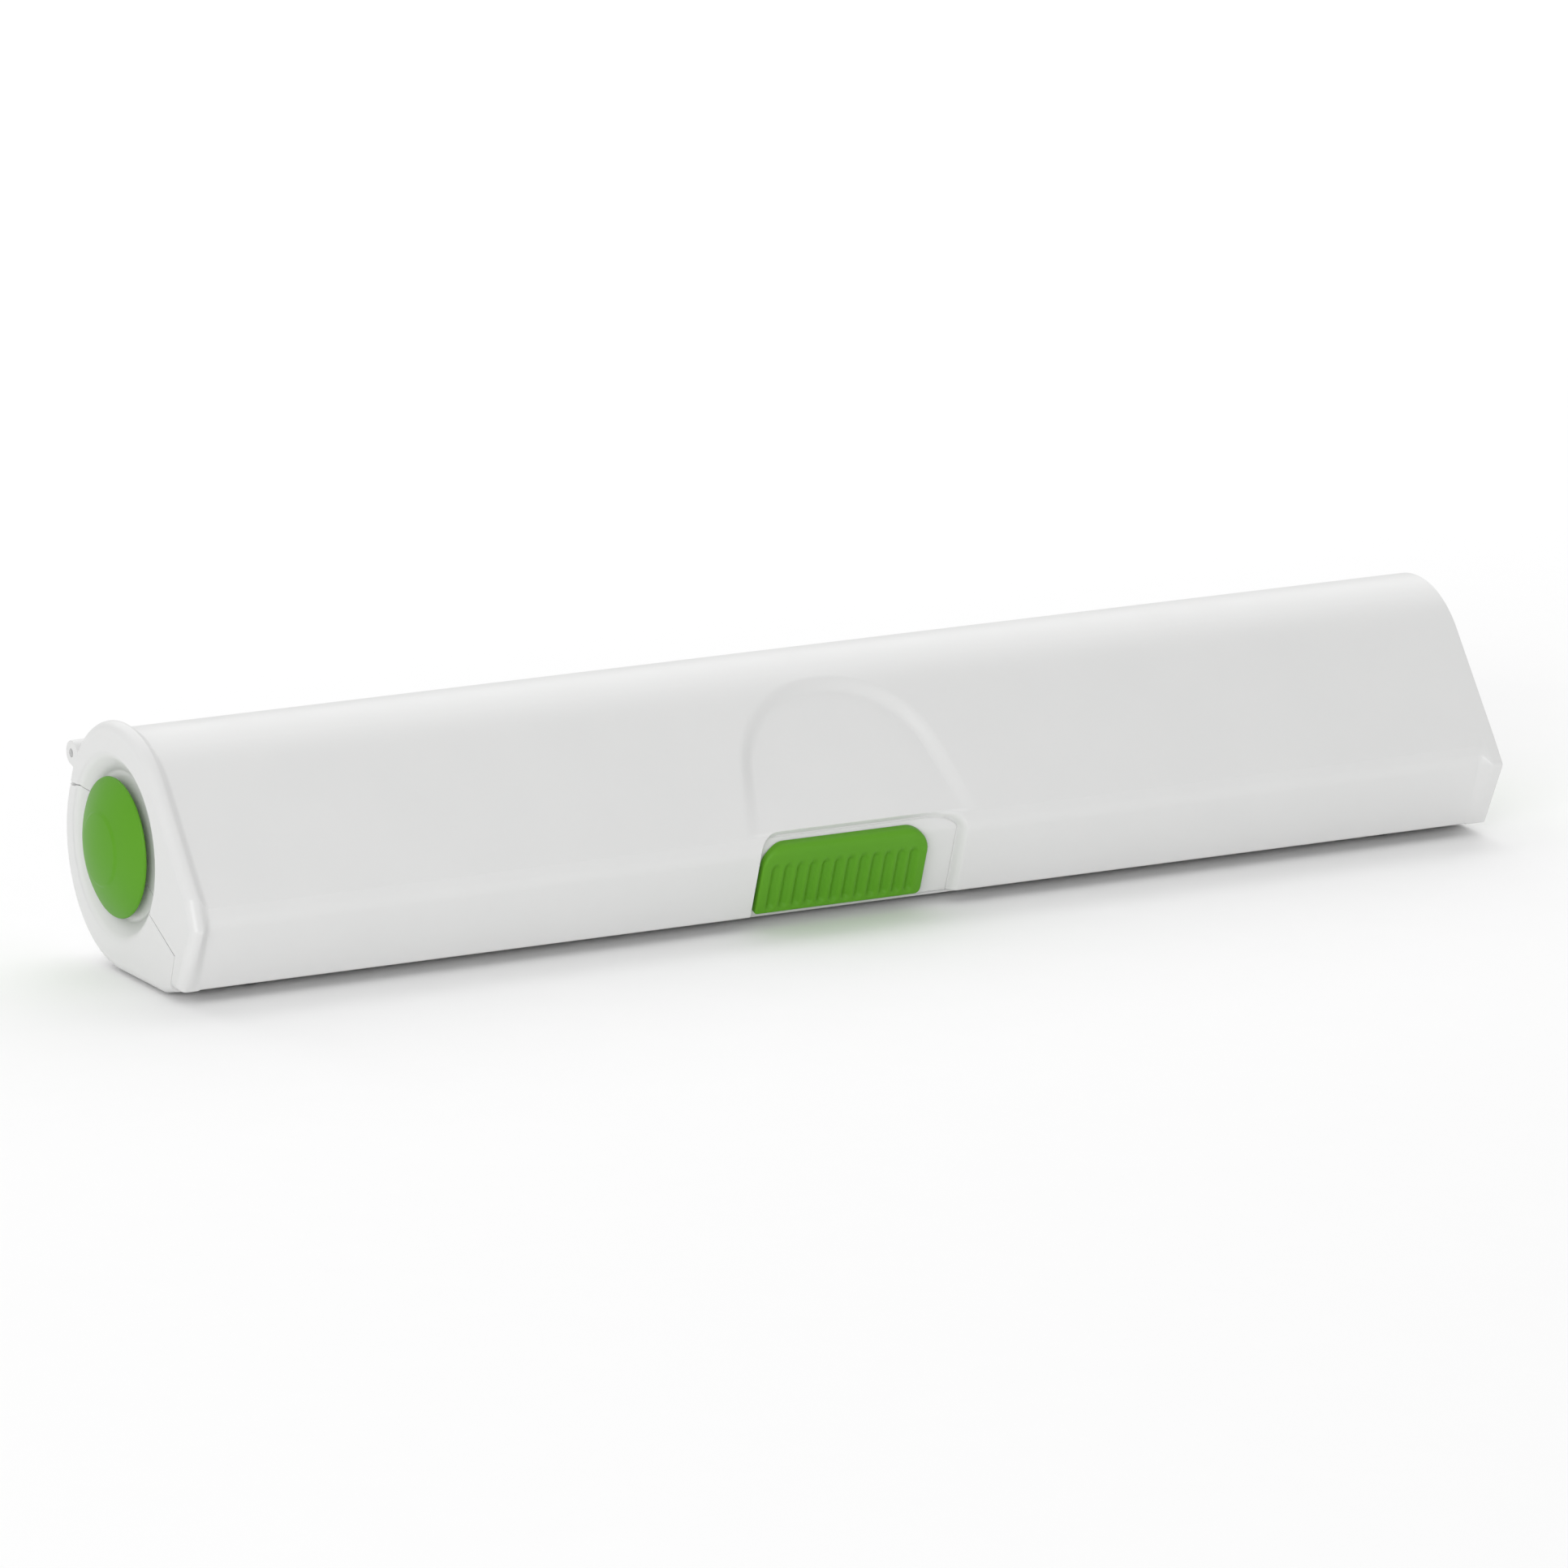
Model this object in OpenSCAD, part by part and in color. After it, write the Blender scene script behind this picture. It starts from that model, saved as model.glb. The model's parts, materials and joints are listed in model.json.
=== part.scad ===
// Cling film dispenser: a white two-part casing for one roll of film, hinged along its back.
// Green knobs in dished ends turn the roll, and a green slider in the front lip works a latch bar.
// Millimetres. +X runs along the roll, -Y is the front and +Z is up.
// The origin is the middle of the footprint, on the surface that the feet stand on.
// Sections are drawn as (y, z) with the roll's axis at their origin, and along_x() extrudes them.

/* [Casing] */
// Length of the casing between its end faces
body_l = 345; // [342:1:350]
// Wall thickness of the two shells
wall = 2; // [1.8:0.1:2.1]
// Outer radius of the cover's rounded top
barrel_r = 24.2; // [24:0.1:24.4]
// Lean of the sloped front face from the vertical, in degrees
slope_lean = 37.9; // [37.5:0.1:38.2]
// Length of the sloped front face
slope_l = 30.8; // [30.5:0.1:31]
// Outer radius of the base trough
trough_r = 25.9; // [25.8:0.1:26]
// Width of the bead round each end
bead_w = 3; // [2.5:0.1:3.5]
// Height of the bead round the left end
bead_h = 2; // [1.5:0.1:2]
// Gap along the seam between cover and base
seam_gap = 0.5; // [0.4:0.1:0.6]

/* [Ends and knobs] */
// Thickness of the end walls, dish included
end_t = 6; // [6:0.1:6.4]
// Depth of the dish in each end
dish_depth = 4; // [3.8:0.1:4.1]
// Radius of the dish at its mouth
dish_r = 20.5; // [20.2:0.1:20.8]
// Radius of the roll knobs
knob_r = 16.4; // [15:0.1:16.6]
// Radius of the knob stems, which turn in the end walls
stem_r = 6; // [5:0.1:6.2]
// Radial running clearance of the stems in the base
stem_play = 0.06; // [0.02:0.01:0.09]

/* [Film] */
// Width of the film
film_w = 290; // [250:1:292]
// Radius of the film on its core
film_r = 19.5; // [16:0.1:19.6]
// Outer radius of the cardboard core
core_r = 15; // [14.5:0.1:15.2]
// Length of the cardboard core
core_l = 300; // [295:1:302]

/* [Latch] */
// Length of the slider
slider_l = 43.5; // [40:0.5:44]
// Travel of the slider and latch bar
latch_travel = 8.4; // [8:0.1:8.6]
// Depth of the recess that the slider lies in
recess_d = 2.2; // [2:0.1:2.3]
// Number of grooves in the slider
groove_n = 12; // [6:1:12]

/* [Thumb dish] */
// Radius of the arched thumb dish on the sloped face
arch_r = 26; // [20:0.5:27]
// Depth of the thumb dish
arch_d = 1.2; // [0.8:0.1:1.4]

/* [Hinge] */
// Radius of the two hinge pins
pin_r = 1; // [0.9:0.05:1.1]
// Length of one hinge pin
pin_l = 19; // [18:0.5:19.5]

/* [Hidden] */
$fn = 96;

shell_white = "whitesmoke";
leaf_green = "yellowgreen";
steel_grey = "lightsteelblue";
rubber_grey = "dimgray";
card_brown = "tan";
film_clear = "azure";

end_x = body_l / 2;
inner_x = end_x - end_t;
far = 80;               // past every outline, for cuts that run right through
clear = 0.3;            // air between moving pieces

// Section points, from the roll's axis
barrel_c = [-2, 3.4];
trough_c = [-2.4, -2.6];
floor_z = trough_c[1] - trough_r;
foot_h = 0.7;           // how far the feet stand proud of the floor
slope_n = [-cos(slope_lean), sin(slope_lean)];
slope_u = [sin(slope_lean), cos(slope_lean)];
slope_top = barrel_c + barrel_r * slope_n;
crease = slope_top - slope_l * slope_u;
nose = [-40.9, -9.5];
lip = [-35, -26.4];
bead_corner = [-43.2, -10.5];
lip_root = [-32.1, -26.4];
ledge = [-31.3, -27.1];
floor_front = [-25.5, floor_z];
floor_back = [trough_c[0], floor_z];
hinge = [20.8, 17.9];
dish_c = [-1.5, 0.5];

// The seam falls through the roll's axis and steps down in front, behind the lip
seam_back = [17, 11];
seam_front = [-21, -11.5];
seam_step = [-33.4, -17.9];
seam_lip = [-31.5, -28];

// The roll's axis stands so that the footprint is centred and the feet reach z = 0
bead_back = trough_c[0] + trough_r + bead_h;
roll_y = -(bead_corner[0] + bead_back) / 2;
roll_z = foot_h - floor_z;

// The lip's own directions: up along it, and inwards through it
lip_u = (nose - lip) / norm(nose - lip);
lip_g = [lip_u[1], -lip_u[0]];
nose_u = (crease - nose) / norm(crease - nose);
nose_g = [nose_u[1], -nose_u[0]];
lip_tilt = atan2(-lip_u[0], lip_u[1]);
crease_h = (crease - lip) * lip_u;

// A point g inwards from the lip's outer face and h above its lower edge
function in_lip(g, h) = lip + g * lip_g + h * lip_u;
// A corner moved d inwards between faces whose inward normals are n1 and n2
function inset(p, n1, n2, d) = p + d * (n1 + n2) / (1 + n1 * n2);

lead_t = 0.2;           // thickness of the film's free end

// Latch and blade, as depths g and heights h in the lip
blade_g = recess_d + wall - 0.2;    // inner face that the blade lies on
blade_t = 0.4;
blade_h = [1, 8];
clamp_t = 1.2;
clamp_h = [4, 7.6];
screw_h = 5.8;
bar_g = [4.5, 6];
bar_h = [10.2, 15];
leg_g = [4.4, 5.6];
toe_g = 7.8;
toe_h = [3, 4.8];
tab_g = [5.9, 8.2];
tab_h = [5.2, 6.8];
front_wall_g = 9;
front_wall_h = 10;
toe_w = 3;
toe_left_x = -165;
toe_right_x = 152;
keeper_w = 9;
keeper_h = [-0.6, 9.4];
keeper_screw_h = 8.2;
keeper_left_x = toe_left_x + toe_w + 1.2;
keeper_right_x = toe_right_x + toe_w + 1.2;
guide_x = [-130, -85, -45, 50, 90, 130];
blade_screw_x = [-135, -90, -45, 50, 90, 135];

// Recess and slider across the front
recess_x = [-26, 29];
recess_r = 6;
slider_x = recess_x[0] + 1.2;
slider_h = [0.8, crease_h - 2.1];
slider_r = 5.5;
arch_v = 12;            // centre of the thumb dish's round top, up from the crease
recess_top = 1.3;       // how far the recess runs up past the crease
slider_gap = 0.3;       // air between the slider and the recess floor
stem_x = slider_x + slider_l / 2;
stem_w = 6;             // slider stem through the slot, along X
stem_h = [11.4, 13.8];
latch_screw_x = [stem_x - stem_w / 4, stem_x + stem_w / 4];
latch_screw_l = 3.4;
groove_pitch = 3.3;
groove_top = 15.5;
groove_d = 0.5;

// Hinge knuckles, measured inwards from an end face
knuckle_r = 2.9;
knuckle_x = [0, 6];
ear_x = [6.3, 14.3];
knuckle2_x = [14.6, 20.6];
ear_r = 2.4;
pin_inset = 1.2;
pin_bore = pin_r + 0.05;
sweep_r = 7.6;          // clears the cover's back edge as it swings

// Knob and plug, measured outwards from an end face
knob_out = 4.3;
knob_edge = 1;
knob_in = 0.5;
collar_gap = 1;         // air between an end wall and the plug's collar
plug_web = 3;
plug_screw_r = 1.2;
plug_screw_x = -end_x + 2.5;

foot_r = 4.5;
foot_sunk = 1;
foot_x = 150;
foot_y = [-21, -3.8];

module along_x(x0, x1) {
    translate([x0, roll_y, roll_z])
        rotate([90, 0, 90])
            linear_extrude(height = x1 - x0)
                children();
}

// Turns a shape whose axis is Z so that the axis runs along X through (y, z)
module on_x(x, p = [0, 0]) {
    translate([x, roll_y + p[0], roll_z + p[1]])
        rotate([0, 90, 0])
            children();
}

// A box between depths g and heights h of the lip, drawn as a section
module lip_box(g, h) {
    polygon([in_lip(g[0], h[0]), in_lip(g[1], h[0]), in_lip(g[1], h[1]), in_lip(g[0], h[1])]);
}

// Places a shape on the lip: its X stays along X, its Y goes up the lip, its Z points outwards
module on_lip(x, g, h) {
    p = in_lip(g, h);
    translate([x, roll_y + p[0], roll_z + p[1]])
        rotate([90 + lip_tilt, 0, 0])
            children();
}

// Which side of the seam a section keeps: side is 1 for the cover and -1 for the base
function seam(side) = let (s = side * seam_gap / 2) [
    [far, seam_back[1] + s], seam_back + [0, s], [0, s], seam_front + [0, s],
    seam_step + [-s, s], seam_lip - [s, 0], [seam_lip[0] - s, -far]
];

module cover_side() {
    polygon(concat(seam(1), [[-far, -far], [-far, far], [far, far]]));
}

module base_side() {
    polygon(concat(seam(-1), [[far, -far]]));
}

// Solid section of the cover, drawn d inside its outer face
module cover_outline(d = 0, lip_h = 0) {
    translate(barrel_c) circle(r = barrel_r - d);
    polygon([
        barrel_c,
        slope_top - d * slope_n,
        inset(crease, -slope_n, nose_g, d),
        inset(nose, nose_g, lip_g, d),
        in_lip(d, lip_h),
        in_lip(12 + d, lip_h)
    ]);
}

// Solid section of an end, with its bead standing bead proud
module end_outline(bead) {
    shoulder = crease + 2 * slope_u + bead * slope_n;
    translate(barrel_c) circle(r = barrel_r + bead);
    translate(trough_c + [0, bead]) circle(r = trough_r + bead);
    polygon([
        barrel_c, barrel_c + (barrel_r + bead) * slope_n, shoulder, bead_corner, lip,
        lip_root, ledge, floor_front, floor_back
    ]);
}

// The wall across an end between its outer face and inner_x, on one side of the seam.
// s is -1 for the left end and 1 for the right
module end_wall(s, bead, notch_r) {
    mirror([s > 0 ? 1 : 0, 0, 0]) difference() {
        union() {
            along_x(-end_x, -end_x + bead_w) intersection() {
                end_outline(bead);
                children();
            }
            along_x(-end_x + bead_w, -inner_x) intersection() {
                union() {
                    cover_outline();
                    translate(trough_c) circle(r = trough_r);
                    polygon([barrel_c, lip_root, ledge, floor_front, floor_back]);
                }
                children();
            }
        }
        on_x(-end_x - 0.01, dish_c)
            cylinder(r1 = dish_r, r2 = dish_r - 2.5, h = dish_depth);
        on_x(-end_x) cylinder(r = notch_r, h = end_t + 1);
        along_x(-end_x + wall, -inner_x + 1) intersection() {
            cover_outline(wall, -1);
            translate([-far - 24, -16]) square([far, far]);
        }
    }
}

// One of the cover's hinge knuckles at the left end, between two distances from the end face
module cover_knuckle(x) {
    along_x(-end_x + x[0], -end_x + x[1]) {
        translate(hinge) circle(r = knuckle_r);
        translate(barrel_c)
            rotate(atan2(hinge[1] - barrel_c[1], hinge[0] - barrel_c[0]))
                translate([barrel_r - wall / 2, -ear_r])
                    square([norm(hinge - barrel_c) - barrel_r + wall / 2, 2 * ear_r]);
    }
}

// Ear of the base that stands between two knuckles
module base_ear() {
    along_x(-end_x + ear_x[0], -end_x + ear_x[1]) difference() {
        union() {
            translate(hinge) circle(r = ear_r);
            intersection() {
                translate(barrel_c) difference() {
                    circle(r = norm(hinge - barrel_c) + 0.4);
                    circle(r = norm(hinge - barrel_c) - ear_r);
                }
                translate([0, -3]) square([far, hinge[1] + 2]);
            }
        }
        translate(hinge) circle(r = pin_bore);
    }
}

module base_trough() {
    color(shell_white) difference() {
        union() {
            difference() {
                union() {
                    along_x(-inner_x, inner_x) {
                        intersection() {
                            translate(trough_c) difference() {
                                circle(r = trough_r);
                                circle(r = trough_r - wall);
                            }
                            translate([trough_c[0], -far])
                                square([far, far + seam_back[1] - seam_gap / 2]);
                        }
                        polygon([
                            floor_back, floor_front, ledge,
                            [ledge[0], floor_z + wall], floor_back + [0, wall]
                        ]);
                        lip_box([front_wall_g, front_wall_g + wall - 0.2], [-4.2, front_wall_h]);
                    }
                    end_wall(-1, bead_h, stem_r + stem_play) base_side();
                    end_wall(1, 0, stem_r + stem_play) base_side();
                }
                on_x(-end_x - 1, hinge) cylinder(r = sweep_r, h = body_l + 2);
            }
            base_ear();
            mirror([1, 0, 0]) base_ear();
        }
        for (x = [-foot_x, foot_x], y = foot_y)
            translate([x, roll_y + y, foot_h - 1]) cylinder(r = foot_r + 0.1, h = 1 + foot_sunk);
        for (x = [keeper_left_x, keeper_right_x]) keeper_hole(x);
    }
}

// A rounded front outline between x0 and x1, normal to the lip, running from h0 to h1
module lip_plate(x0, x1, h0, h1, r) {
    on_lip(0, 10, 0) linear_extrude(height = 30) {
        translate([x0, h0]) square([x1 - x0, h1 - h0 - r]);
        translate([x0 + r, h0]) square([x1 - x0 - 2 * r, h1 - h0]);
        translate([x0 + r, h1 - r]) circle(r = r);
        translate([x1 - r, h1 - r]) circle(r = r);
    }
}

// The skin of the lip and nose between depths d0 and d1, drawn as a section
module lip_skin(d0, d1, rise, h0) {
    polygon([
        in_lip(d0, h0), in_lip(d1, h0),
        inset(nose, nose_g, lip_g, d1),
        inset(crease, -slope_n, nose_g, d1),
        crease - d1 * slope_n + rise * slope_u,
        crease - d0 * slope_n + rise * slope_u,
        inset(crease, -slope_n, nose_g, d0),
        inset(nose, nose_g, lip_g, d0)
    ]);
}

// A round-topped plate on the sloped face, from depth d0 to d1 inside it
module arch_plate(d0, d1, r) {
    p = crease - d1 * slope_n;
    foot = recess_top + 1;
    translate([(recess_x[0] + recess_x[1]) / 2, roll_y + p[0], roll_z + p[1]])
        rotate([90 - slope_lean, 0, 0])
            linear_extrude(height = d1 - d0) {
                intersection() {
                    translate([0, arch_v]) circle(r = r);
                    translate([-r, foot]) square([2 * r, 3 * r]);
                }
                translate([-r, foot]) square([2 * r, arch_v - foot]);
            }
}

module top_cover() {
    color(shell_white) difference() {
        union() {
            difference() {
                union() {
                    along_x(-inner_x, inner_x) intersection() {
                        difference() {
                            cover_outline();
                            cover_outline(wall, -1);
                        }
                        cover_side();
                    }
                    arch_plate(wall - 0.2, wall + arch_d - 0.2, arch_r + 1.6);
                }
                arch_plate(-far, arch_d, arch_r);
            }
            end_wall(-1, bead_h, stem_r + 0.4) cover_side();
            end_wall(1, 0, stem_r + 0.4) cover_side();
            for (m = [0, 1], x = [knuckle_x, knuckle2_x])
                mirror([m, 0, 0]) cover_knuckle(x);
            along_x(recess_x[0] - wall, recess_x[1] + wall)
                lip_skin(wall - 0.5, blade_g, recess_top + 2, 0);
            along_x(-film_w / 2 - 1, film_w / 2 + 1)
                lip_box([wall - 0.2, blade_g], [3.6, 6.6]);
            for (x = guide_x) along_x(x - 1, x + 1) bar_guide();
        }
        intersection() {
            along_x(recess_x[0], recess_x[1]) lip_skin(-3, recess_d, recess_top, -1);
            lip_plate(recess_x[0], recess_x[1], -2, crease_h + 2.2, recess_r);
        }
        for (x = blade_screw_x) on_lip(x, blade_g + 1, screw_h) cylinder(r = 1, h = 2.6);
        for (m = [0, 1]) mirror([m, 0, 0])
            on_x(-end_x - 1, hinge) cylinder(r = pin_bore, h = knuckle2_x[1] + 2);
        // Slot that the slider's stem runs in
        along_x(stem_x - stem_w / 2 - clear, stem_x + stem_w / 2 + latch_travel + clear)
            lip_box([0, blade_g + 1], [stem_h[0] - clear, stem_h[1] + clear]);
    }
}

// C-shaped rib that holds the latch bar against the inside of the lip
module bar_guide() {
    lip_box([wall - 0.2, bar_g[0] - clear], [bar_h[0] - 1.5, bar_h[1] + 1.5]);
    lip_box([wall, bar_g[1] + 0.4], [bar_h[0] - 1.5, bar_h[0] - clear]);
    lip_box([wall, bar_g[1] + 0.4], [bar_h[1] + clear, bar_h[1] + 1.5]);
}

module hinge_pin(s) {
    color(steel_grey)
        on_x(s < 0 ? -end_x + pin_inset : end_x - pin_inset - pin_l, hinge)
            cylinder(r = pin_r, h = pin_l);
}

// Domed knob on the left end, with the stem that turns in the end wall
module knob_shape() {
    dome_h = knob_out + knob_in;
    dome_r = (knob_r * knob_r + dome_h * dome_h) / (2 * dome_h);
    difference() {
        on_x(-end_x - knob_out) {
            intersection() {
                translate([0, 0, dome_r]) sphere(r = dome_r);
                cylinder(r = knob_r, h = dome_h);
            }
            translate([0, 0, dome_h]) cylinder(r = knob_r, h = knob_edge);
            translate([0, 0, dome_h]) cylinder(r = stem_r, h = knob_out + end_t + collar_gap - dome_h);
        }
        on_x(plug_screw_x) cylinder(r = plug_screw_r, h = end_t + 4);
    }
}

// Plug that pushes into the core's end and is screwed to the knob's stem
module plug_shape() {
    collar_x = -inner_x + collar_gap;
    core_x = -core_l / 2;
    difference() {
        union() {
            on_x(collar_x) cylinder(r = stem_r + 2.5, h = core_x - collar_x);
            on_x(core_x - 2) cylinder(r = core_r + 1, h = 2);
            on_x(core_x) cylinder(r = core_r - 1.6, h = 14);
        }
        on_x(collar_x + plug_web) cylinder(r = stem_r, h = core_x - collar_x + 14);
        on_x(collar_x - 1) cylinder(r = plug_screw_r, h = plug_web + 2);
    }
}

module plug_screw() {
    head_x = -inner_x + collar_gap + plug_web;
    on_x(head_x) cylinder(r = 2.8, h = 1.8);
    on_x(plug_screw_x) cylinder(r = plug_screw_r, h = head_x - plug_screw_x);
}

module cardboard_core() {
    color(card_brown) on_x(-core_l / 2) difference() {
        cylinder(r = core_r, h = core_l);
        translate([0, 0, -1]) cylinder(r = core_r - 1.5, h = core_l + 2);
    }
}

module film_roll() {
    color(film_clear) on_x(-film_w / 2) difference() {
        cylinder(r = film_r, h = film_w);
        translate([0, 0, -1]) cylinder(r = core_r, h = film_w + 2);
    }
}

// Normal of a route's straight run from point i, and the route moved d towards it
function run_n(route, i) = let (v = route[i + 1] - route[i]) [-v[1], v[0]] / norm(v);
function beside(route, d) = [
    for (i = [0 : len(route) - 1])
        inset(route[i], run_n(route, max(i - 1, 0)), run_n(route, min(i, len(route) - 2)), d)
];

// The free end of the film: off the roll, over the front wall and down to the grip strip
module film_lead() {
    over = in_lip(front_wall_g - 0.5, front_wall_h + 0.5);
    start_r = film_r + clear + lead_t;
    start_a = atan2(over[1], over[0]) - acos(start_r / norm(over));
    strip_z = floor_z + wall + 0.95;
    route = [
        start_r * [cos(start_a), sin(start_a)], over, in_lip(front_wall_g - 0.5, 0.5),
        [ledge[0] + 2.5, strip_z], [ledge[0] + 0.4, strip_z]
    ];
    inner = beside(route, lead_t / 2);
    color(film_clear) along_x(-film_w / 2, film_w / 2)
        polygon(concat(
            beside(route, -lead_t / 2),
            [for (i = [len(inner) - 1 : -1 : 0]) inner[i]]
        ));
}

// Saw-toothed steel strip behind the lip, teeth downwards
module cutter_blade() {
    tooth = 2;
    tooth_h = 1.6;
    n = floor(film_w / tooth);
    teeth = [for (i = [0 : 2 * n]) [i * tooth / 2, i % 2 == 0 ? tooth_h : 0]];
    color(steel_grey) difference() {
        on_lip(-n * tooth / 2, blade_g + blade_t, blade_h[0])
            linear_extrude(height = blade_t)
                polygon(concat(teeth, [
                    [n * tooth, blade_h[1] - blade_h[0]], [0, blade_h[1] - blade_h[0]]
                ]));
        for (x = blade_screw_x)
            on_lip(x, blade_g + 2, screw_h) cylinder(r = 1.1, h = 3, $fn = 24);
    }
}

module blade_clamp() {
    color(shell_white) difference() {
        along_x(-film_w / 2, film_w / 2)
            lip_box([blade_g + blade_t, blade_g + blade_t + clamp_t], clamp_h);
        for (x = blade_screw_x)
            on_lip(x, blade_g + 4, screw_h) cylinder(r = 1.1, h = 6, $fn = 24);
    }
}

module blade_screws() {
    under_head = blade_g + blade_t + clamp_t;
    color(steel_grey) for (x = blade_screw_x) {
        on_lip(x, under_head + 0.8, screw_h) cylinder(r = 1.8, h = 0.8);
        on_lip(x, under_head, screw_h) cylinder(r = 1, h = under_head - blade_g + 1.5);
    }
}

module latch_slider() {
    color(leaf_green) {
        difference() {
            intersection() {
                along_x(slider_x, slider_x + slider_l)
                    lip_skin(0, recess_d - slider_gap, recess_top - 2 * slider_gap, -1);
                lip_plate(slider_x, slider_x + slider_l, slider_h[0], slider_h[1], slider_r);
            }
            for (i = [0 : groove_n - 1])
                on_lip(stem_x + (i - (groove_n - 1) / 2) * groove_pitch, groove_d, -1)
                    linear_extrude(height = 3)
                        translate([-groove_pitch / 4, 0]) square([groove_pitch / 2, groove_top + 1]);
        }
        difference() {
            along_x(stem_x - stem_w / 2, stem_x + stem_w / 2)
                lip_box([recess_d - slider_gap - 0.1, bar_g[0]], stem_h);
            for (x = latch_screw_x) latch_screw_bore(x);
        }
    }
}

// Long bar behind the lip, with a hooked toe near each end
module latch_bar() {
    color(shell_white) difference() {
        union() {
            along_x(toe_left_x, toe_right_x + toe_w) lip_box(bar_g, bar_h);
            for (x = [toe_left_x, toe_right_x]) along_x(x, x + toe_w) {
                lip_box([leg_g[0], leg_g[1]], [toe_h[0], bar_h[1]]);
                lip_box([leg_g[0], toe_g], toe_h);
            }
        }
        for (x = latch_screw_x) latch_screw_bore(x);
    }
}

// Screw that holds the bar to the slider's stem, and the bore that it cuts in them
module latch_screw_bore(x) {
    on_lip(x, bar_g[1], (stem_h[0] + stem_h[1]) / 2) cylinder(r = 0.8, h = latch_screw_l);
}

module latch_screws() {
    color(steel_grey) for (x = latch_screw_x) {
        on_lip(x, bar_g[1] + 0.7, (stem_h[0] + stem_h[1]) / 2) cylinder(r = 1.4, h = 0.7);
        latch_screw_bore(x);
    }
}

// Thin bowed leaf inside the lip that bears on the latch bar
module detent_spring() {
    t = 0.3;
    rise = bar_g[0] - wall - 0.15;
    half = [8, 10];
    color(steel_grey) on_lip(110, bar_g[0] - 0.15, 14)
        rotate([90, 0, 0])
            linear_extrude(height = 3)
                polygon([
                    [-half[1], rise], [-half[1], rise - t], [-half[0], rise - t], [0, 0],
                    [half[0], rise - t], [half[1], rise - t], [half[1], rise],
                    [half[0], rise], [0, t], [-half[0], rise]
                ]);
}

// Hooked plate on the front wall that the latch bar's toe slides under
module keeper(x) {
    color(shell_white) difference() {
        along_x(x, x + keeper_w) {
            lip_box([tab_g[1], front_wall_g], keeper_h);
            lip_box(tab_g, tab_h);
        }
        keeper_hole(x);
    }
}

// Shank of a keeper's screw, and the hole for it in the keeper and the front wall
module keeper_hole(x) {
    depth = front_wall_g + 1.5;
    on_lip(x + keeper_w / 2, depth, keeper_screw_h) cylinder(r = 0.8, h = depth - tab_g[1]);
}

module keeper_screws() {
    color(steel_grey) for (x = [keeper_left_x, keeper_right_x]) {
        on_lip(x + keeper_w / 2, tab_g[1], keeper_screw_h) cylinder(r = 1.1, h = 0.5);
        keeper_hole(x);
    }
}

module grip_strip() {
    color(rubber_grey) translate([-film_w / 2 - 1, roll_y + ledge[0] + 0.3, foot_h + wall])
        cube([film_w + 2, 3.3, 0.8]);
}

module foot(x, y) {
    color(rubber_grey) translate([x, roll_y + y, 0]) cylinder(r = foot_r, h = foot_h + foot_sunk);
}

base_trough();
top_cover();
hinge_pin(-1);  // hinge_pin_left
hinge_pin(1);  // hinge_pin_right
color(leaf_green) knob_shape();  // knob_left
color(leaf_green) mirror([1, 0, 0]) knob_shape();  // knob_right
color(shell_white) plug_shape();  // core_plug_left
color(shell_white) mirror([1, 0, 0]) plug_shape();  // core_plug_right
color(steel_grey) {  // plug_screws
    plug_screw();
    mirror([1, 0, 0]) plug_screw();
}
cardboard_core();
film_roll();
film_lead();
cutter_blade();
blade_clamp();
blade_screws();
latch_slider();
latch_bar();
latch_screws();
detent_spring();
keeper(keeper_left_x);  // keeper_left
keeper(keeper_right_x);  // keeper_right
keeper_screws();
grip_strip();
foot(-foot_x, foot_y[0]);  // foot_front_left
foot(foot_x, foot_y[0]);  // foot_front_right
foot(-foot_x, foot_y[1]);  // foot_rear_left
foot(foot_x, foot_y[1]);  // foot_rear_right
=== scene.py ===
# Cling film dispenser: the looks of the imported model.
# Lengths are in millimetres, and MM turns them into Blender's metres when a mesh is made.
# A section is drawn as Vector((y, z)) from the roll's axis, counterclockwise as seen from +X.
import json
import math

import bmesh
import bpy
from mathutils import Matrix, Vector


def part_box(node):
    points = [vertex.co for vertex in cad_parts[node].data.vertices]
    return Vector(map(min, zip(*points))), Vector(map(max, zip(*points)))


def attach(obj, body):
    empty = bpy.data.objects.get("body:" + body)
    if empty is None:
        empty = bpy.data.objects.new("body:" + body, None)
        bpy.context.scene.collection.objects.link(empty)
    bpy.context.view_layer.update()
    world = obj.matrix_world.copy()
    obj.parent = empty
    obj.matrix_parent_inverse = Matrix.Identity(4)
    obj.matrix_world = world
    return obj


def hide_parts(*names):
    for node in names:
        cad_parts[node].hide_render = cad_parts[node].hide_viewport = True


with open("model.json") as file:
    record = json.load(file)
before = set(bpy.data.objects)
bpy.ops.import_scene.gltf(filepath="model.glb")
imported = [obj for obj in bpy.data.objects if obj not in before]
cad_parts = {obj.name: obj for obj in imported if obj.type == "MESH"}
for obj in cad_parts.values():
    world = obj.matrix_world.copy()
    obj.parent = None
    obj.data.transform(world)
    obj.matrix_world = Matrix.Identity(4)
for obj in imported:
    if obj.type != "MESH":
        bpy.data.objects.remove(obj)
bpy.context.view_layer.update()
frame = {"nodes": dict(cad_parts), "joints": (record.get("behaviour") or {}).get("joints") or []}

MM = 0.001
JOINTS = {joint["name"]: joint for joint in frame["joints"]}


def section_point(pos_m):
    """A joint's place as (y, z) in millimetres."""
    return Vector((pos_m[1], pos_m[2])) / MM


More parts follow.
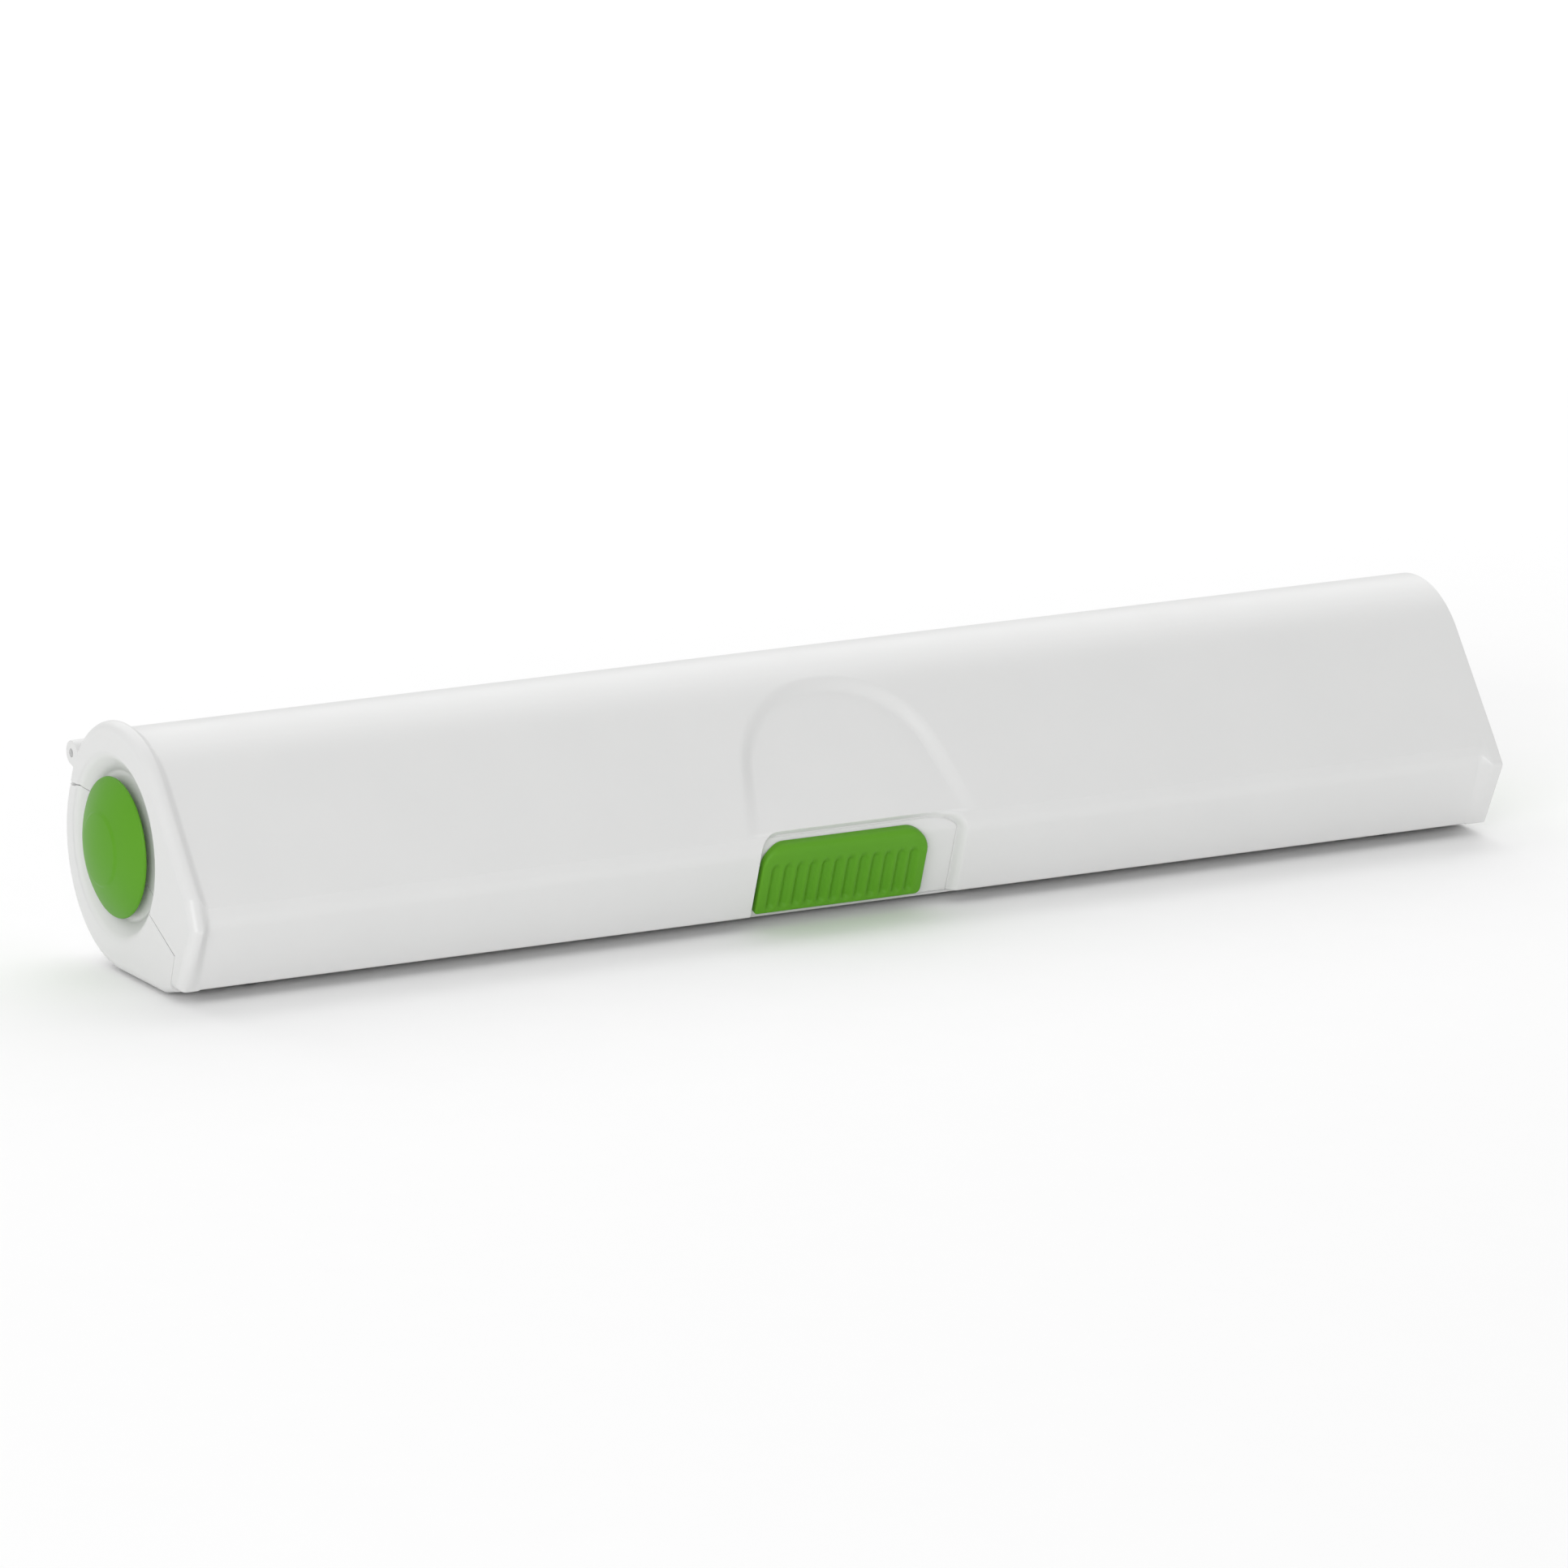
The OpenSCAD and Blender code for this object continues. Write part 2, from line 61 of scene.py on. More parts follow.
ROLL = section_point(JOINTS["roll_spin"]["pos_m"])
HINGE = section_point(JOINTS["cover_hinge"]["pos_m"]) - ROLL
END_X = round(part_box("top_cover")[1].x / MM, 3)

# ---------- Driving sizes ----------
AXIS = Vector((0, 0))   # the roll's axis in a section
END_T = 6
INNER_X = END_X - END_T
WALL = 2
SEAM = 0.13             # half the gap between cover and base
BARREL_C = Vector((-2, 3.4))
BARREL_R = 24.2
TROUGH_C = Vector((-2.4, -2.6))
TROUGH_R = 25.9
FLOOR_Z = TROUGH_C.y - TROUGH_R
SLOPE_LEAN = math.radians(37.9)
SLOPE_L = 30.8
CREASE_R = 0.6
NOSE = Vector((-40.9, -9.5))
NOSE_R = 6
LIP = Vector((-35, -26.4))
LIP_R = 0.7             # radius of the lip's lower edge
LIP_BACK_G = 6          # depth of the lip before it is hollowed, and how high its back goes
LIP_BACK_H = 15
LEDGE = Vector((-31.3, -27.1))
FLOOR_FRONT = Vector((-25.5, FLOOR_Z))
SEAM_BACK = Vector((17, 11))
SEAM_FRONT = Vector((-21, -11.5))
SEAM_STEP = Vector((-33.4, -17.9))
SEAM_LIP_Y = -31.5
LIP_GAP = 0.45          # the base stands this far behind that seam

END_R = 2.3             # radius of the left end's outer edge, on its bead
FLUSH_R = 0.5           # the same at the right end, where the bead isn't raised
BEAD_H = 2              # how far the bead stands proud at the left end
BEAD_FLAT = 2.5         # the bead's width, and where its fillet ends
BEAD_FOOT = 5.6
BEAD_CORNER = Vector((-43.2, -10.5))
BEAD_CREASE_UP = 2      # how far up the slope the bead's crease lies
BEAD_CREASE_R = 1
BEAD_NOSE_R = 1.2
BEAD_LIP_R = 0.5
LEAST_R = 0.2           # an edge moved inwards keeps at least this radius

DISH_C = Vector((-1.5, 0.5))
DISH_R = 20.6
DISH_FLOOR_R = 17.4
DISH_DEPTH = 3.5
DISH_WALL_TOP = 0.8     # how far under the end face the dish's wall meets its flared mouth
DISH_FLARE = 2.4
DISH_OUT = 0.5          # how far the dish's tool stands out of the end face
DISH_RADII = (1.2, 3)   # of the dish's floor and of its mouth

RECESS_X = (-26, 29)
RECESS_TOP = 1.3
RECESS_D = 2.2
RECESS_R = 6
RECESS_FOOT = 1         # how far the recess's floor runs below the lip's foot
RECESS_WALL = 0.7       # width of the recess's steep left wall
RECESS_WALL_MORE = 1.2  # what the softer right wall adds to it
RECESS_TURN = 18        # x where the steep wall's shape starts to give way to the softer one's
RECESS_TURN_L = 8       # and over how far
RECESS_GROOVE = 0.15    # depth of the groove along the right wall's foot, as a share of RECESS_D
RECESS_GROOVE_W = 0.6   # half its width

ARCH_X = 1.3
ARCH_V = 12             # centre of the thumb dish's round top, up from the crease
ARCH_R = 27.4
ARCH_D = 1.6
ARCH_LOW = 0.35         # share of its depth that the thumb dish has at the crease
ARCH_FULL = 20          # height above the crease where it has all of it
ARCH_START = 1.5        # height over which it sets in above the crease
ARCH_FLANK = 4.2
ARCH_SPLAY = math.radians(13)    # how far the dish's sides lean outwards below its round top

BLADE_G = 4
BOSS_H = (3.6, 6.6)
BOSS_PAST = 1           # how far the bosses of the blade reach past the film's ends
BOSS_LAP = 0.5          # and into the solid pad behind the recess
BAR_G = (4.5, 6)
BAR_H = (10.2, 15)
GUIDE_X = (-130, -85, -45, 50, 90, 130)
GUIDE_HALF = 1          # half the width of a guide
GUIDE_T = 1.5           # how far it stands past the bar, above and below
GUIDE_BACK = 0.4        # how far it stands past the bar's back
FRONT_WALL_G = (9, 10.8)
FRONT_WALL_H = 10
FILM_W = 290

SLIDER_X = (-24.8, 18.7)
SLIDER_T = 1.9
STEM_X = sum(SLIDER_X) / 2
STEM_W = 6
STEM_H = (11.4, 13.8)
LATCH_TRAVEL = 8.4
STEM_SUNK = 0.1         # how far the stem is sunk into the slider
CLEAR = 0.3             # air round the latch where it slides

KNUCKLE_R = 2.9
KNUCKLES = ((0, 6), (14.6, 20.6))
KNUCKLE_EDGE = 0.3
EAR = (6.3, 14.3)
EAR_R = 2.4
EAR_FOOT = -3           # height of the ear's foot on the casing's back
EAR_OUT = 0.4           # how far the ear stands out past the hinge's axis
EAR_UNDER = 1           # how far under that axis the ear's curved part ends, inside its round tip
PIN_R = 1
PIN_PLAY = 0.05
PIN_L = 19
PIN_SUNK = 1.2          # how far a pin's outer end lies inside the end face
SWEEP_R = 7.6           # room that the cover's knuckles turn in

STEM_R = 6
STEM_PLAY = 0.06        # round the knobs' stems in the base
STEM_ROOM = 0.4         # round them in the cover
COLLAR_GAP = 1          # air between an end wall and the plug's collar
KNOB_R = 16.4
KNOB_FACE = END_X - 0.5     # plane of the knob's rim
KNOB_DOME = 4.8
KNOB_EDGE = 1
FOOT_R = 4.5

PAST = 1                # how far a cutting tool runs past what it cuts
SUNK = 0.2              # how far a rib is sunk into the skin that carries it
HAIR = 0.02             # the step from an end wall to the hollow middle
SQUARE = 0.01           # an edge radius too small to see
ARC_STEPS = 40
FINE_STEP = 0.3         # how far apart points stand on small curved shapes

SLOPE_N = Vector((-math.cos(SLOPE_LEAN), math.sin(SLOPE_LEAN)))
SLOPE_U = Vector((math.sin(SLOPE_LEAN), math.cos(SLOPE_LEAN)))
SLOPE_DEG = 180 - math.degrees(SLOPE_LEAN)
SLOPE_TOP = BARREL_C + BARREL_R * SLOPE_N
CREASE = SLOPE_TOP - SLOPE_L * SLOPE_U
LIP_U = (NOSE - LIP).normalized()
LIP_G = Vector((LIP_U.y, -LIP_U.x))
CREASE_H = (CREASE - LIP).dot(LIP_U)


def in_lip(g, h):
    """The point g inwards from the lip's outer face and h above its lower edge."""
    return LIP + g * LIP_G + h * LIP_U


def smooth(t):
    """A soft step from 0 to 1."""
    t = max(0, min(1, t))
    return t * t * (3 - 2 * t)


def placed_axes(origin, x_axis, y_axis, z_axis):
    """The matrix that puts the three axes at origin."""
    return Matrix.Translation(origin) @ Matrix((x_axis, y_axis, z_axis)).transposed().to_4x4()


# ---------- Camera ----------
VIEW_TURN = math.radians(-28.07)
VIEW_RISE = math.radians(13.71)
VIEW_DISTANCE = 3025.63
VIEW_RIGHT = 1.42
VIEW_UP = -4.64
LENS = 296.5
SENSOR_W = 36
CLIP_END_M = 20


def add_camera():
    """The photograph's viewpoint, turned and raised about the roll and set a little to the side."""
    level = math.cos(VIEW_RISE)
    back = Vector((math.sin(VIEW_TURN) * level, -math.cos(VIEW_TURN) * level, math.sin(VIEW_RISE)))
    right = Vector((math.cos(VIEW_TURN), math.sin(VIEW_TURN), 0))
    up = back.cross(right)
    eye = VIEW_DISTANCE * back + VIEW_RIGHT * right + VIEW_UP * up + Vector((0, ROLL.x, ROLL.y))
    camera = bpy.data.objects.new("camera", bpy.data.cameras.new("camera"))
    bpy.context.scene.collection.objects.link(camera)
    camera.matrix_world = placed_axes(eye * MM, right, up, back)
    camera.data.lens = LENS
    camera.data.sensor_width = SENSOR_W
    camera.data.clip_end = CLIP_END_M
    bpy.context.scene.camera = camera


# ---------- Sections ----------
def arc(centre, radius, start, end, steps):
    """Points of an arc between two angles in degrees."""
    angles = (math.radians(start + (end - start) * i / steps) for i in range(steps + 1))
    return [centre + radius * Vector((math.cos(a), math.sin(a))) for a in angles]


def disc(centre, radius, steps=32):
    """A full circle as a closed section."""
    return arc(centre, radius, 0, 360, steps)[:-1]


def fillet(before, corner, after, radius, steps):
    """An arc of steps + 1 points that rounds one corner of a section."""
    a = (before - corner).normalized()
    b = (after - corner).normalized()
    half = math.acos(max(-1, min(1, a.dot(b)))) / 2
    if radius <= 0 or half > math.radians(89.9):
        return [corner.copy() for _ in range(steps + 1)]
    reach = radius / math.tan(half)
    centre = corner + (a + b).normalized() * (radius / math.sin(half))
    first = corner + reach * a - centre
    last = corner + reach * b - centre
    start = math.atan2(first.y, first.x)
    turn = math.remainder(math.atan2(last.y, last.x) - start, math.tau)
    return arc(centre, radius, math.degrees(start), math.degrees(start + turn), steps)


def spread(a, b, step):
    """Evenly spaced values from a to b, both included, about step apart."""
    n = max(1, round(abs(b - a) / step))
    return [a + (b - a) * i / n for i in range(n + 1)]


def trace(points, radii, steps, stops):
    """An open run through points whose inner corners are rounded. stops[i] cuts the stretch after point i."""
    last = len(points) - 1
    rounds = [[points[0]]]
    for i in range(1, last):
        rounds.append(fillet(points[i - 1], points[i], points[i + 1], radii[i - 1], steps[i - 1]))
    rounds.append([points[last]])
    run = []
    for i in range(last + 1):
        run += rounds[i]
        if i < last:
            run += [rounds[i][-1].lerp(rounds[i + 1][0], t) for t in stops[i]]
    return run


def meet(p, along, q, across):
    """Where the line through p meets the line through q."""
    d = q - p
    t = (d.x * across.y - d.y * across.x) / (along.x * across.y - along.y * across.x)
    return p + t * along


def inset_corner(before, corner, after, d_in, d_out):
    """A corner of a counterclockwise section, its two edges moved inwards by d_in and d_out."""
    a = (corner - before).normalized()
    b = (after - corner).normalized()
    if abs(a.x * b.y - a.y * b.x) < 1e-6:
        return corner + d_in * Vector((-a.y, a.x))
    return meet(corner + d_in * Vector((-a.y, a.x)), a, corner + d_out * Vector((-b.y, b.x)), b)


def shrink(section, d):
    """A closed section moved inwards by d."""
    n = len(section)
    return [inset_corner(section[i - 1], section[i], section[(i + 1) % n], d, d) for i in range(n)]


def lip_box(g, h):
    """A box between depths g and heights h of the lip, drawn as a section."""
    return [in_lip(g[0], h[0]), in_lip(g[1], h[0]), in_lip(g[1], h[1]), in_lip(g[0], h[1])]


# ---------- Meshes ----------
def place(x, p):
    """A section point p at x along the casing, as a point of the frame in millimetres."""
    return Vector((x, ROLL.x + p.x, ROLL.y + p.y))


def lip_matrix(x, g, h):
    """Turns (along X, up the lip, outwards) into the frame, from a point of the lip."""
    up_lip = Vector((0, LIP_U.x, LIP_U.y))
    outwards = Vector((0, -LIP_G.x, -LIP_G.y))
    return placed_axes(place(x, in_lip(g, h)), Vector((1, 0, 0)), up_lip, outwards)


def axis_matrix(x, p, side=1):
    """Turns Z into +X for side 1, or into -X for side -1, from section point p at x."""
    return Matrix.Translation(place(x, p)) @ Matrix.Rotation(side * math.pi / 2, 4, "Y")


def both_ends(span):
    """The same stretch, measured inwards from each end face, as (x0, x1) from left to right."""
    return [(-END_X + span[0], -END_X + span[1]), (END_X - span[1], END_X - span[0])]


def make(name, verts, faces):
    """A mesh object from points in millimetres, with its faces turned outwards."""
    bm = bmesh.new()
    made = [bm.verts.new(v * MM) for v in verts]
    for face in faces:
        bm.faces.new([made[i] for i in face])
    bmesh.ops.recalc_face_normals(bm, faces=bm.faces)
    mesh = bpy.data.meshes.new(name)
    bm.to_mesh(mesh)
    bm.free()
    piece = bpy.data.objects.new(name, mesh)
    bpy.context.scene.collection.objects.link(piece)
    return piece


def loft(name, rings):
    """A closed solid through rings of equally many points, with flat ends."""
    n = len(rings[0])
    verts = [v for ring in rings for v in ring]
    faces = [list(range(n)), [(len(rings) - 1) * n + i for i in range(n)]]
    for r in range(len(rings) - 1):
        for i in range(n):
            j = (i + 1) % n
            faces.append([r * n + i, r * n + j, (r + 1) * n + j, (r + 1) * n + i])
    return make(name, verts, faces)


def end_edge(x_face, radius, steps=7):
    """(x, inset) stations that round the edge of an end face at x_face; the solid lies towards x = 0."""
    inward = -1 if x_face > 0 else 1
    angles = [math.pi / 2 * i / steps for i in range(steps + 1)]
    return [(x_face + inward * radius * (1 - math.cos(a)), radius * (1 - math.sin(a))) for a in angles]


def bar(name, section, x0, x1, edge=0.2):
    """A section extruded along X from x0 to x1, with its end edges rounded."""
    turns = [math.radians(a) for a in (0, 30, 60, 90)]
    near = [(x0 + edge * (1 - math.cos(a)), edge * (1 - math.sin(a))) for a in turns]
    away = [(x0 + x1 - x, inset) for x, inset in reversed(near)]
    return loft(name, [[place(x, p) for p in shrink(section, inset)] for x, inset in near + away])


def lathe(name, profile, places, steps=96, closed=False):
    """Turns a profile of (radius, height) round the Z axis of each matrix in places."""
    verts = []
    faces = []
    for matrix in places:
        rings = []
        for radius, height in profile:
            count = steps if radius > 1e-6 else 1
            rings.append(range(len(verts), len(verts) + count))
            for i in range(count):
                a = math.tau * i / steps
                verts.append(matrix @ Vector((radius * math.cos(a), radius * math.sin(a), height)))
        following = rings[1:] + rings[:1] if closed else rings[1:]
        for lower, upper in zip(rings, following):
            for i in range(steps):
                pair = (i, (i + 1) % steps)
                face = [lower[k % len(lower)] for k in pair]
                face += [upper[k % len(upper)] for k in reversed(pair)]
                faces.append(list(dict.fromkeys(face)))
    return make(name, verts, faces)


def prism(name, outline, z0, z1, places):
    """An outline of (x, y) between two heights on the Z axis of each matrix in places."""
    verts = []
    faces = []
    n = len(outline)
    for matrix in places:
        base = len(verts)
        verts += [matrix @ Vector((x, y, z)) for z in (z0, z1) for x, y in outline]
        faces += [[base + i for i in range(n)], [base + n + i for i in range(n)]]
        faces += [[base + i, base + (i + 1) % n, base + n + (i + 1) % n, base + n + i] for i in range(n)]
    return make(name, verts, faces)


def bore(x0, x1, p, radius):
    """A round tool along X."""
    profile = [(0, 0), (radius, 0), (radius, x1 - x0), (0, x1 - x0)]
    return lathe("bore", profile, [axis_matrix(x0, p)])


def combine(piece, tool, operation):
    """Joins, cuts or trims piece by tool, and discards the tool."""
    step = piece.modifiers.new("combine", "BOOLEAN")
    step.operation = operation
    step.solver = "MANIFOLD"
    step.object = tool
    mesh = bpy.data.meshes.new_from_object(piece.evaluated_get(bpy.context.evaluated_depsgraph_get()))
    piece.modifiers.clear()
    piece.data = mesh
    bpy.data.objects.remove(tool)


def dress(piece, nodes, body, slot, sharp=30):
    """Smooths a finished piece, puts it on its body in place of CAD nodes, and gives it its finish."""
    mesh = piece.data
    mesh.polygons.foreach_set("use_smooth", [True] * len(mesh.polygons))
    mesh.set_sharp_from_angle(angle=math.radians(sharp))
    normals = piece.modifiers.new("normals", "WEIGHTED_NORMAL")
    normals.keep_sharp = True
    mesh.materials.clear()
    mesh.materials.append(FINISH[slot])
    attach(piece, body)
    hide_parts(*nodes)


# ---------- Finishes ----------
NOISE_SPAN = (0.3, 0.7)     # the values that nearly all of a noise lies between


def node_noise(tree, vector, scale, detail):
    """The output of a noise over the given coordinates, from 0 to 1."""
    noise = tree.nodes.new("ShaderNodeTexNoise")
    noise.inputs["Scale"].default_value = scale
    noise.inputs["Detail"].default_value = detail
    tree.links.new(vector, noise.inputs["Vector"])
    return noise.outputs["Fac"]


def finish(name, dark, light, rough, grain, relief, stretch=(1, 1, 1), cloud=60, **sockets):
    """A moulded, rolled or drawn surface: colour and roughness drift with a cloud, and a fine grain stands
    relief millimetres high. grain and cloud count features per metre. sockets are set on the shader."""
    material = bpy.data.materials.new(name)
    material.use_nodes = True
    tree = material.node_tree
    shader = tree.nodes["Principled BSDF"]
    for socket, value in sockets.items():
        shader.inputs[socket.replace("_", " ")].default_value = value

    place_node = tree.nodes.new("ShaderNodeTexCoord")
    stretch_node = tree.nodes.new("ShaderNodeMapping")
    stretch_node.inputs["Scale"].default_value = stretch
    tree.links.new(place_node.outputs["Object"], stretch_node.inputs["Vector"])
    vector = stretch_node.outputs["Vector"]
    drift = node_noise(tree, vector, cloud, 3)
    fine = node_noise(tree, vector, grain, 2)

    tint = tree.nodes.new("ShaderNodeMix")
    tint.data_type = "RGBA"
    tint.inputs["A"].default_value = (*dark, 1)
    tint.inputs["B"].default_value = (*light, 1)
    tree.links.new(drift, tint.inputs["Factor"])
    tree.links.new(tint.outputs["Result"], shader.inputs["Base Color"])

    gloss = tree.nodes.new("ShaderNodeMapRange")
    gloss.inputs["From Min"].default_value = NOISE_SPAN[0]
    gloss.inputs["From Max"].default_value = NOISE_SPAN[1]
    gloss.inputs["To Min"].default_value = rough[0]
    gloss.inputs["To Max"].default_value = rough[1]
    tree.links.new(drift, gloss.inputs["Value"])
    tree.links.new(gloss.outputs["Result"], shader.inputs["Roughness"])

    bump = tree.nodes.new("ShaderNodeBump")
    bump.inputs["Strength"].default_value = 1
    bump.inputs["Distance"].default_value = relief * MM
    tree.links.new(fine, bump.inputs["Height"])
    tree.links.new(bump.outputs["Normal"], shader.inputs["Normal"])
    return material


FINISH = {
    "white_shell": finish(
        "white_plastic", (0.735, 0.738, 0.733), (0.757, 0.758, 0.752), (0.32, 0.42), 900, 0.012,
        Specular_IOR_Level=0.5,
    ),
    "green_plastic": finish(
        "green_plastic", (0.094, 0.318, 0.01), (0.107, 0.337, 0.013), (0.4, 0.5), 1400, 0.015,
        Specular_IOR_Level=0.28,
    ),
    "steel": finish(
        "brushed_steel", (0.52, 0.53, 0.55), (0.66, 0.67, 0.68), (0.24, 0.4), 1500, 0.01,
        stretch=(0.04, 1, 1), Metallic=1.0,
    ),
    "rubber": finish("rubber", (0.05, 0.05, 0.052), (0.085, 0.085, 0.088), (0.7, 0.9), 1800, 0.04),
    "board": finish(
        "cardboard", (0.34, 0.23, 0.13), (0.47, 0.34, 0.21), (0.8, 0.95), 700, 0.05,
        stretch=(0.3, 1, 1), cloud=250,
    ),
    "film": finish(
        "clear_film", (0.86, 0.9, 0.91), (0.93, 0.95, 0.95), (0.08, 0.22), 120, 0.03,
        stretch=(0.15, 1, 1), Transmission_Weight=0.55, IOR=1.5,
    ),
}

# ---------- The skin of the front ----------
BROW = 26               # degrees of the barrel above the slope that the thumb dish may reach
BROW_STEPS = 32
CORNER_STEPS = (4, 14, 5)   # arc steps at the crease, the nose and the lip's lower edge
BEND_PARTS = 8          # the stretch from crease to nose is cut evenly
LIP_L = 15              # the lip's straight stretch, roughly
NEAR_L = 4              # the slope and the lip are cut finely over this length next to the bend
SLOPE_CUTS = spread(0, SLOPE_L - NEAR_L, 0.7)[1:] + spread(SLOPE_L - NEAR_L, SLOPE_L, 0.15)[1:-1]
LIP_CUTS = spread(0, NEAR_L, 0.2)[1:] + spread(NEAR_L, LIP_L, 0.6)[1:-1]
STOPS = (
    [v / SLOPE_L for v in SLOPE_CUTS],
    [i / BEND_PARTS for i in range(1, BEND_PARTS)],
    [v / LIP_L for v in LIP_CUTS],
    [],
)


def skin(corners, radii, d, foot_d):
    """The front from the slope's top down to the lip's foot, moved d inwards, its foot foot_d upwards."""
    top, crease, nose, lip, foot = corners
    moved = [
        top - d * SLOPE_N,
        inset_corner(top, crease, nose, d, d),
        inset_corner(crease, nose, lip, d, d),
        inset_corner(nose, lip, foot, d, foot_d),
        foot,
    ]
    return trace(moved, radii, CORNER_STEPS, STOPS)[:-1]


def brow(radius):
    """The barrel just above the slope, down to the slope's top, which is left out."""
    return arc(BARREL_C, radius, SLOPE_DEG - BROW, SLOPE_DEG, BROW_STEPS)[:-1]


def climb(run):
    """How far each point of a front run stands above the crease, measured along the surface."""
    climbs = [BARREL_R * math.radians(BROW) + SLOPE_L]
    for before, p in zip(run, run[1:]):
        climbs.append(climbs[-1] - (p - before).length)
    return climbs


MIDDLE = (SLOPE_TOP, CREASE, NOSE, LIP, in_lip(LIP_BACK_G, 0))
FRONT = brow(BARREL_R) + skin(MIDDLE, (CREASE_R, NOSE_R, LIP_R), 0, 0)
RECESS_RADII = (CREASE_R / 2, NOSE_R - RECESS_D, LIP_R)
RECESSED = brow(BARREL_R - RECESS_D) + skin(MIDDLE, RECESS_RADII, RECESS_D, -RECESS_FOOT)
CLIMB = climb(FRONT)


def plate_inside(x, h, xs, hs, radii):
    """How far (x, h) lies inside a plate between the two xs and the two hs. Its corners are rounded by
    radii, in the order low left, low right, top left, top right."""
    at_right = x > sum(xs) / 2
    high = h > sum(hs) / 2
    radius = radii[2 * high + at_right]
    a = xs[1] - x if at_right else x - xs[0]
    b = hs[1] - h if high else h - hs[0]
    if a < radius and b < radius:
        return radius - math.hypot(radius - a, radius - b)
    return min(a, b)


def recess(x, s):
    """How far the recess of the slider has sunk at x and s above the crease: 1 on its floor, and a little
    more in the narrow groove along the foot of its softer right wall."""
    below = -60         # lower than the recess ever is, because it runs out at the lip's foot
    inside = plate_inside(x, s, RECESS_X, (below, RECESS_TOP), (0, 0, RECESS_R, RECESS_R))
    softer = smooth((x - RECESS_TURN) / RECESS_TURN_L)
    wall = RECESS_WALL + RECESS_WALL_MORE * softer
    t = max(0, min(1, inside / wall))
    groove = RECESS_GROOVE * (1 - smooth(abs(inside - wall) / RECESS_GROOVE_W))
    return smooth(t) * (1 - softer) + (t * t + groove) * softer


def thumb_dish(x, s):
    """Depth of the arched thumb dish, whose sides splay towards the recess and whose floor fades into it."""
    across = abs(x - ARCH_X)
    rise = s - ARCH_V
    if rise > across * math.tan(ARCH_SPLAY):
        inside = ARCH_R - math.hypot(across, rise)
    else:
        inside = ARCH_R - across * math.cos(ARCH_SPLAY) - rise * math.sin(ARCH_SPLAY)
    share = ARCH_LOW + (1 - ARCH_LOW) * smooth(s / ARCH_FULL)
    return ARCH_D * share * smooth(inside / ARCH_FLANK)


def front(x):
    """The front between the ends, with the slider's recess and the thumb dish sunk into it."""
    run = []
    for p, sunk, s in zip(FRONT, RECESSED, CLIMB):
        q = p.lerp(sunk, recess(x, s))
        if s > 0:
            normal = (p - BARREL_C).normalized() if s > SLOPE_L else SLOPE_N
            q = q - thumb_dish(x, s) * smooth(s / ARCH_START) * normal
        run.append(q)
    return run


# ---------- What cover and base share ----------
def bead_at(x):
    """How much of the end's outline holds at x: 1 on the bead, falling to 0 at its foot."""
    return 1 - smooth((END_X - abs(x) - BEAD_FLAT) / (BEAD_FOOT - BEAD_FLAT))


def in_end_wall(x):
    """Whether the section at x is one of an end wall's."""
    return abs(x) > INNER_X - HAIR / 2


def stations(middle):
    """(x, inset) along the casing: rounded end edges, beads, then the given middle."""
    bead = [END_X - BEAD_FLAT] + spread(END_X - BEAD_FLAT, END_X - BEAD_FOOT, FINE_STEP)[1:] + [INNER_X]
    left = end_edge(-END_X, END_R) + [(-x, 0) for x in bead]
    right = end_edge(END_X, FLUSH_R) + [(x, 0) for x in bead]
    hollow = [-INNER_X + HAIR] + middle + [INNER_X - HAIR]
    return left + [(x, 0) for x in hollow] + right[::-1]


def dish(side):
    """The tool that sinks the dish into an end, flared softly at its mouth."""
    points = [
        Vector((0, -DISH_DEPTH)),
        Vector((DISH_FLOOR_R, -DISH_DEPTH)),
        Vector((DISH_R, -DISH_WALL_TOP)),
        Vector((DISH_R + DISH_FLARE, DISH_OUT)),
    ]
    profile = [tuple(p) for p in trace(points, DISH_RADII, (8, 12), ([], [], []))] + [(0, DISH_OUT)]
    return lathe("dish", profile, [axis_matrix(side * END_X, DISH_C, side)])


def cut_ends(shell, stem_room):
    """Sinks the dishes into both ends of a shell, and bores it for the knobs' stems and the hinge pins."""
    for side in (-1, 1):
        combine(shell, dish(side), "DIFFERENCE")
    for x0, x1 in both_ends((-PAST, END_T + PAST)):
        combine(shell, bore(x0, x1, AXIS, STEM_R + stem_room), "DIFFERENCE")
    for x0, x1 in both_ends((-PAST, KNUCKLES[1][1] + PAST)):
        combine(shell, bore(x0, x1, HINGE, PIN_R + PIN_PLAY), "DIFFERENCE")


# ---------- Cover ----------
PAD_X = (RECESS_X[0] - WALL, RECESS_X[1] + WALL)
# Stretches of x with the step of each: fine over the recess's side walls, coarse where the cover is plain
COVER_SPANS = (
    (-INNER_X + 2, -36, 8),
    (-35, -28, 0.4),
    (-27.8, -19.5, 0.15),
    (-19, 20.5, 0.5),
    (21, 30.9, 0.15),
    (31.2, 39, 0.4),
    (41, INNER_X - 2, 8),
)
HOLLOW_G = 8            # the hollow's tool leaves the lip at this depth, below its foot
HOLLOW_H = -3
HOLLOW_FOOT = [Vector((-25, -20)), Vector((0, -5)), Vector((15, 5)), Vector((21, 8))]
HOLLOW_LOW_Z = 9        # height at which the hollow leaves the barrel's back


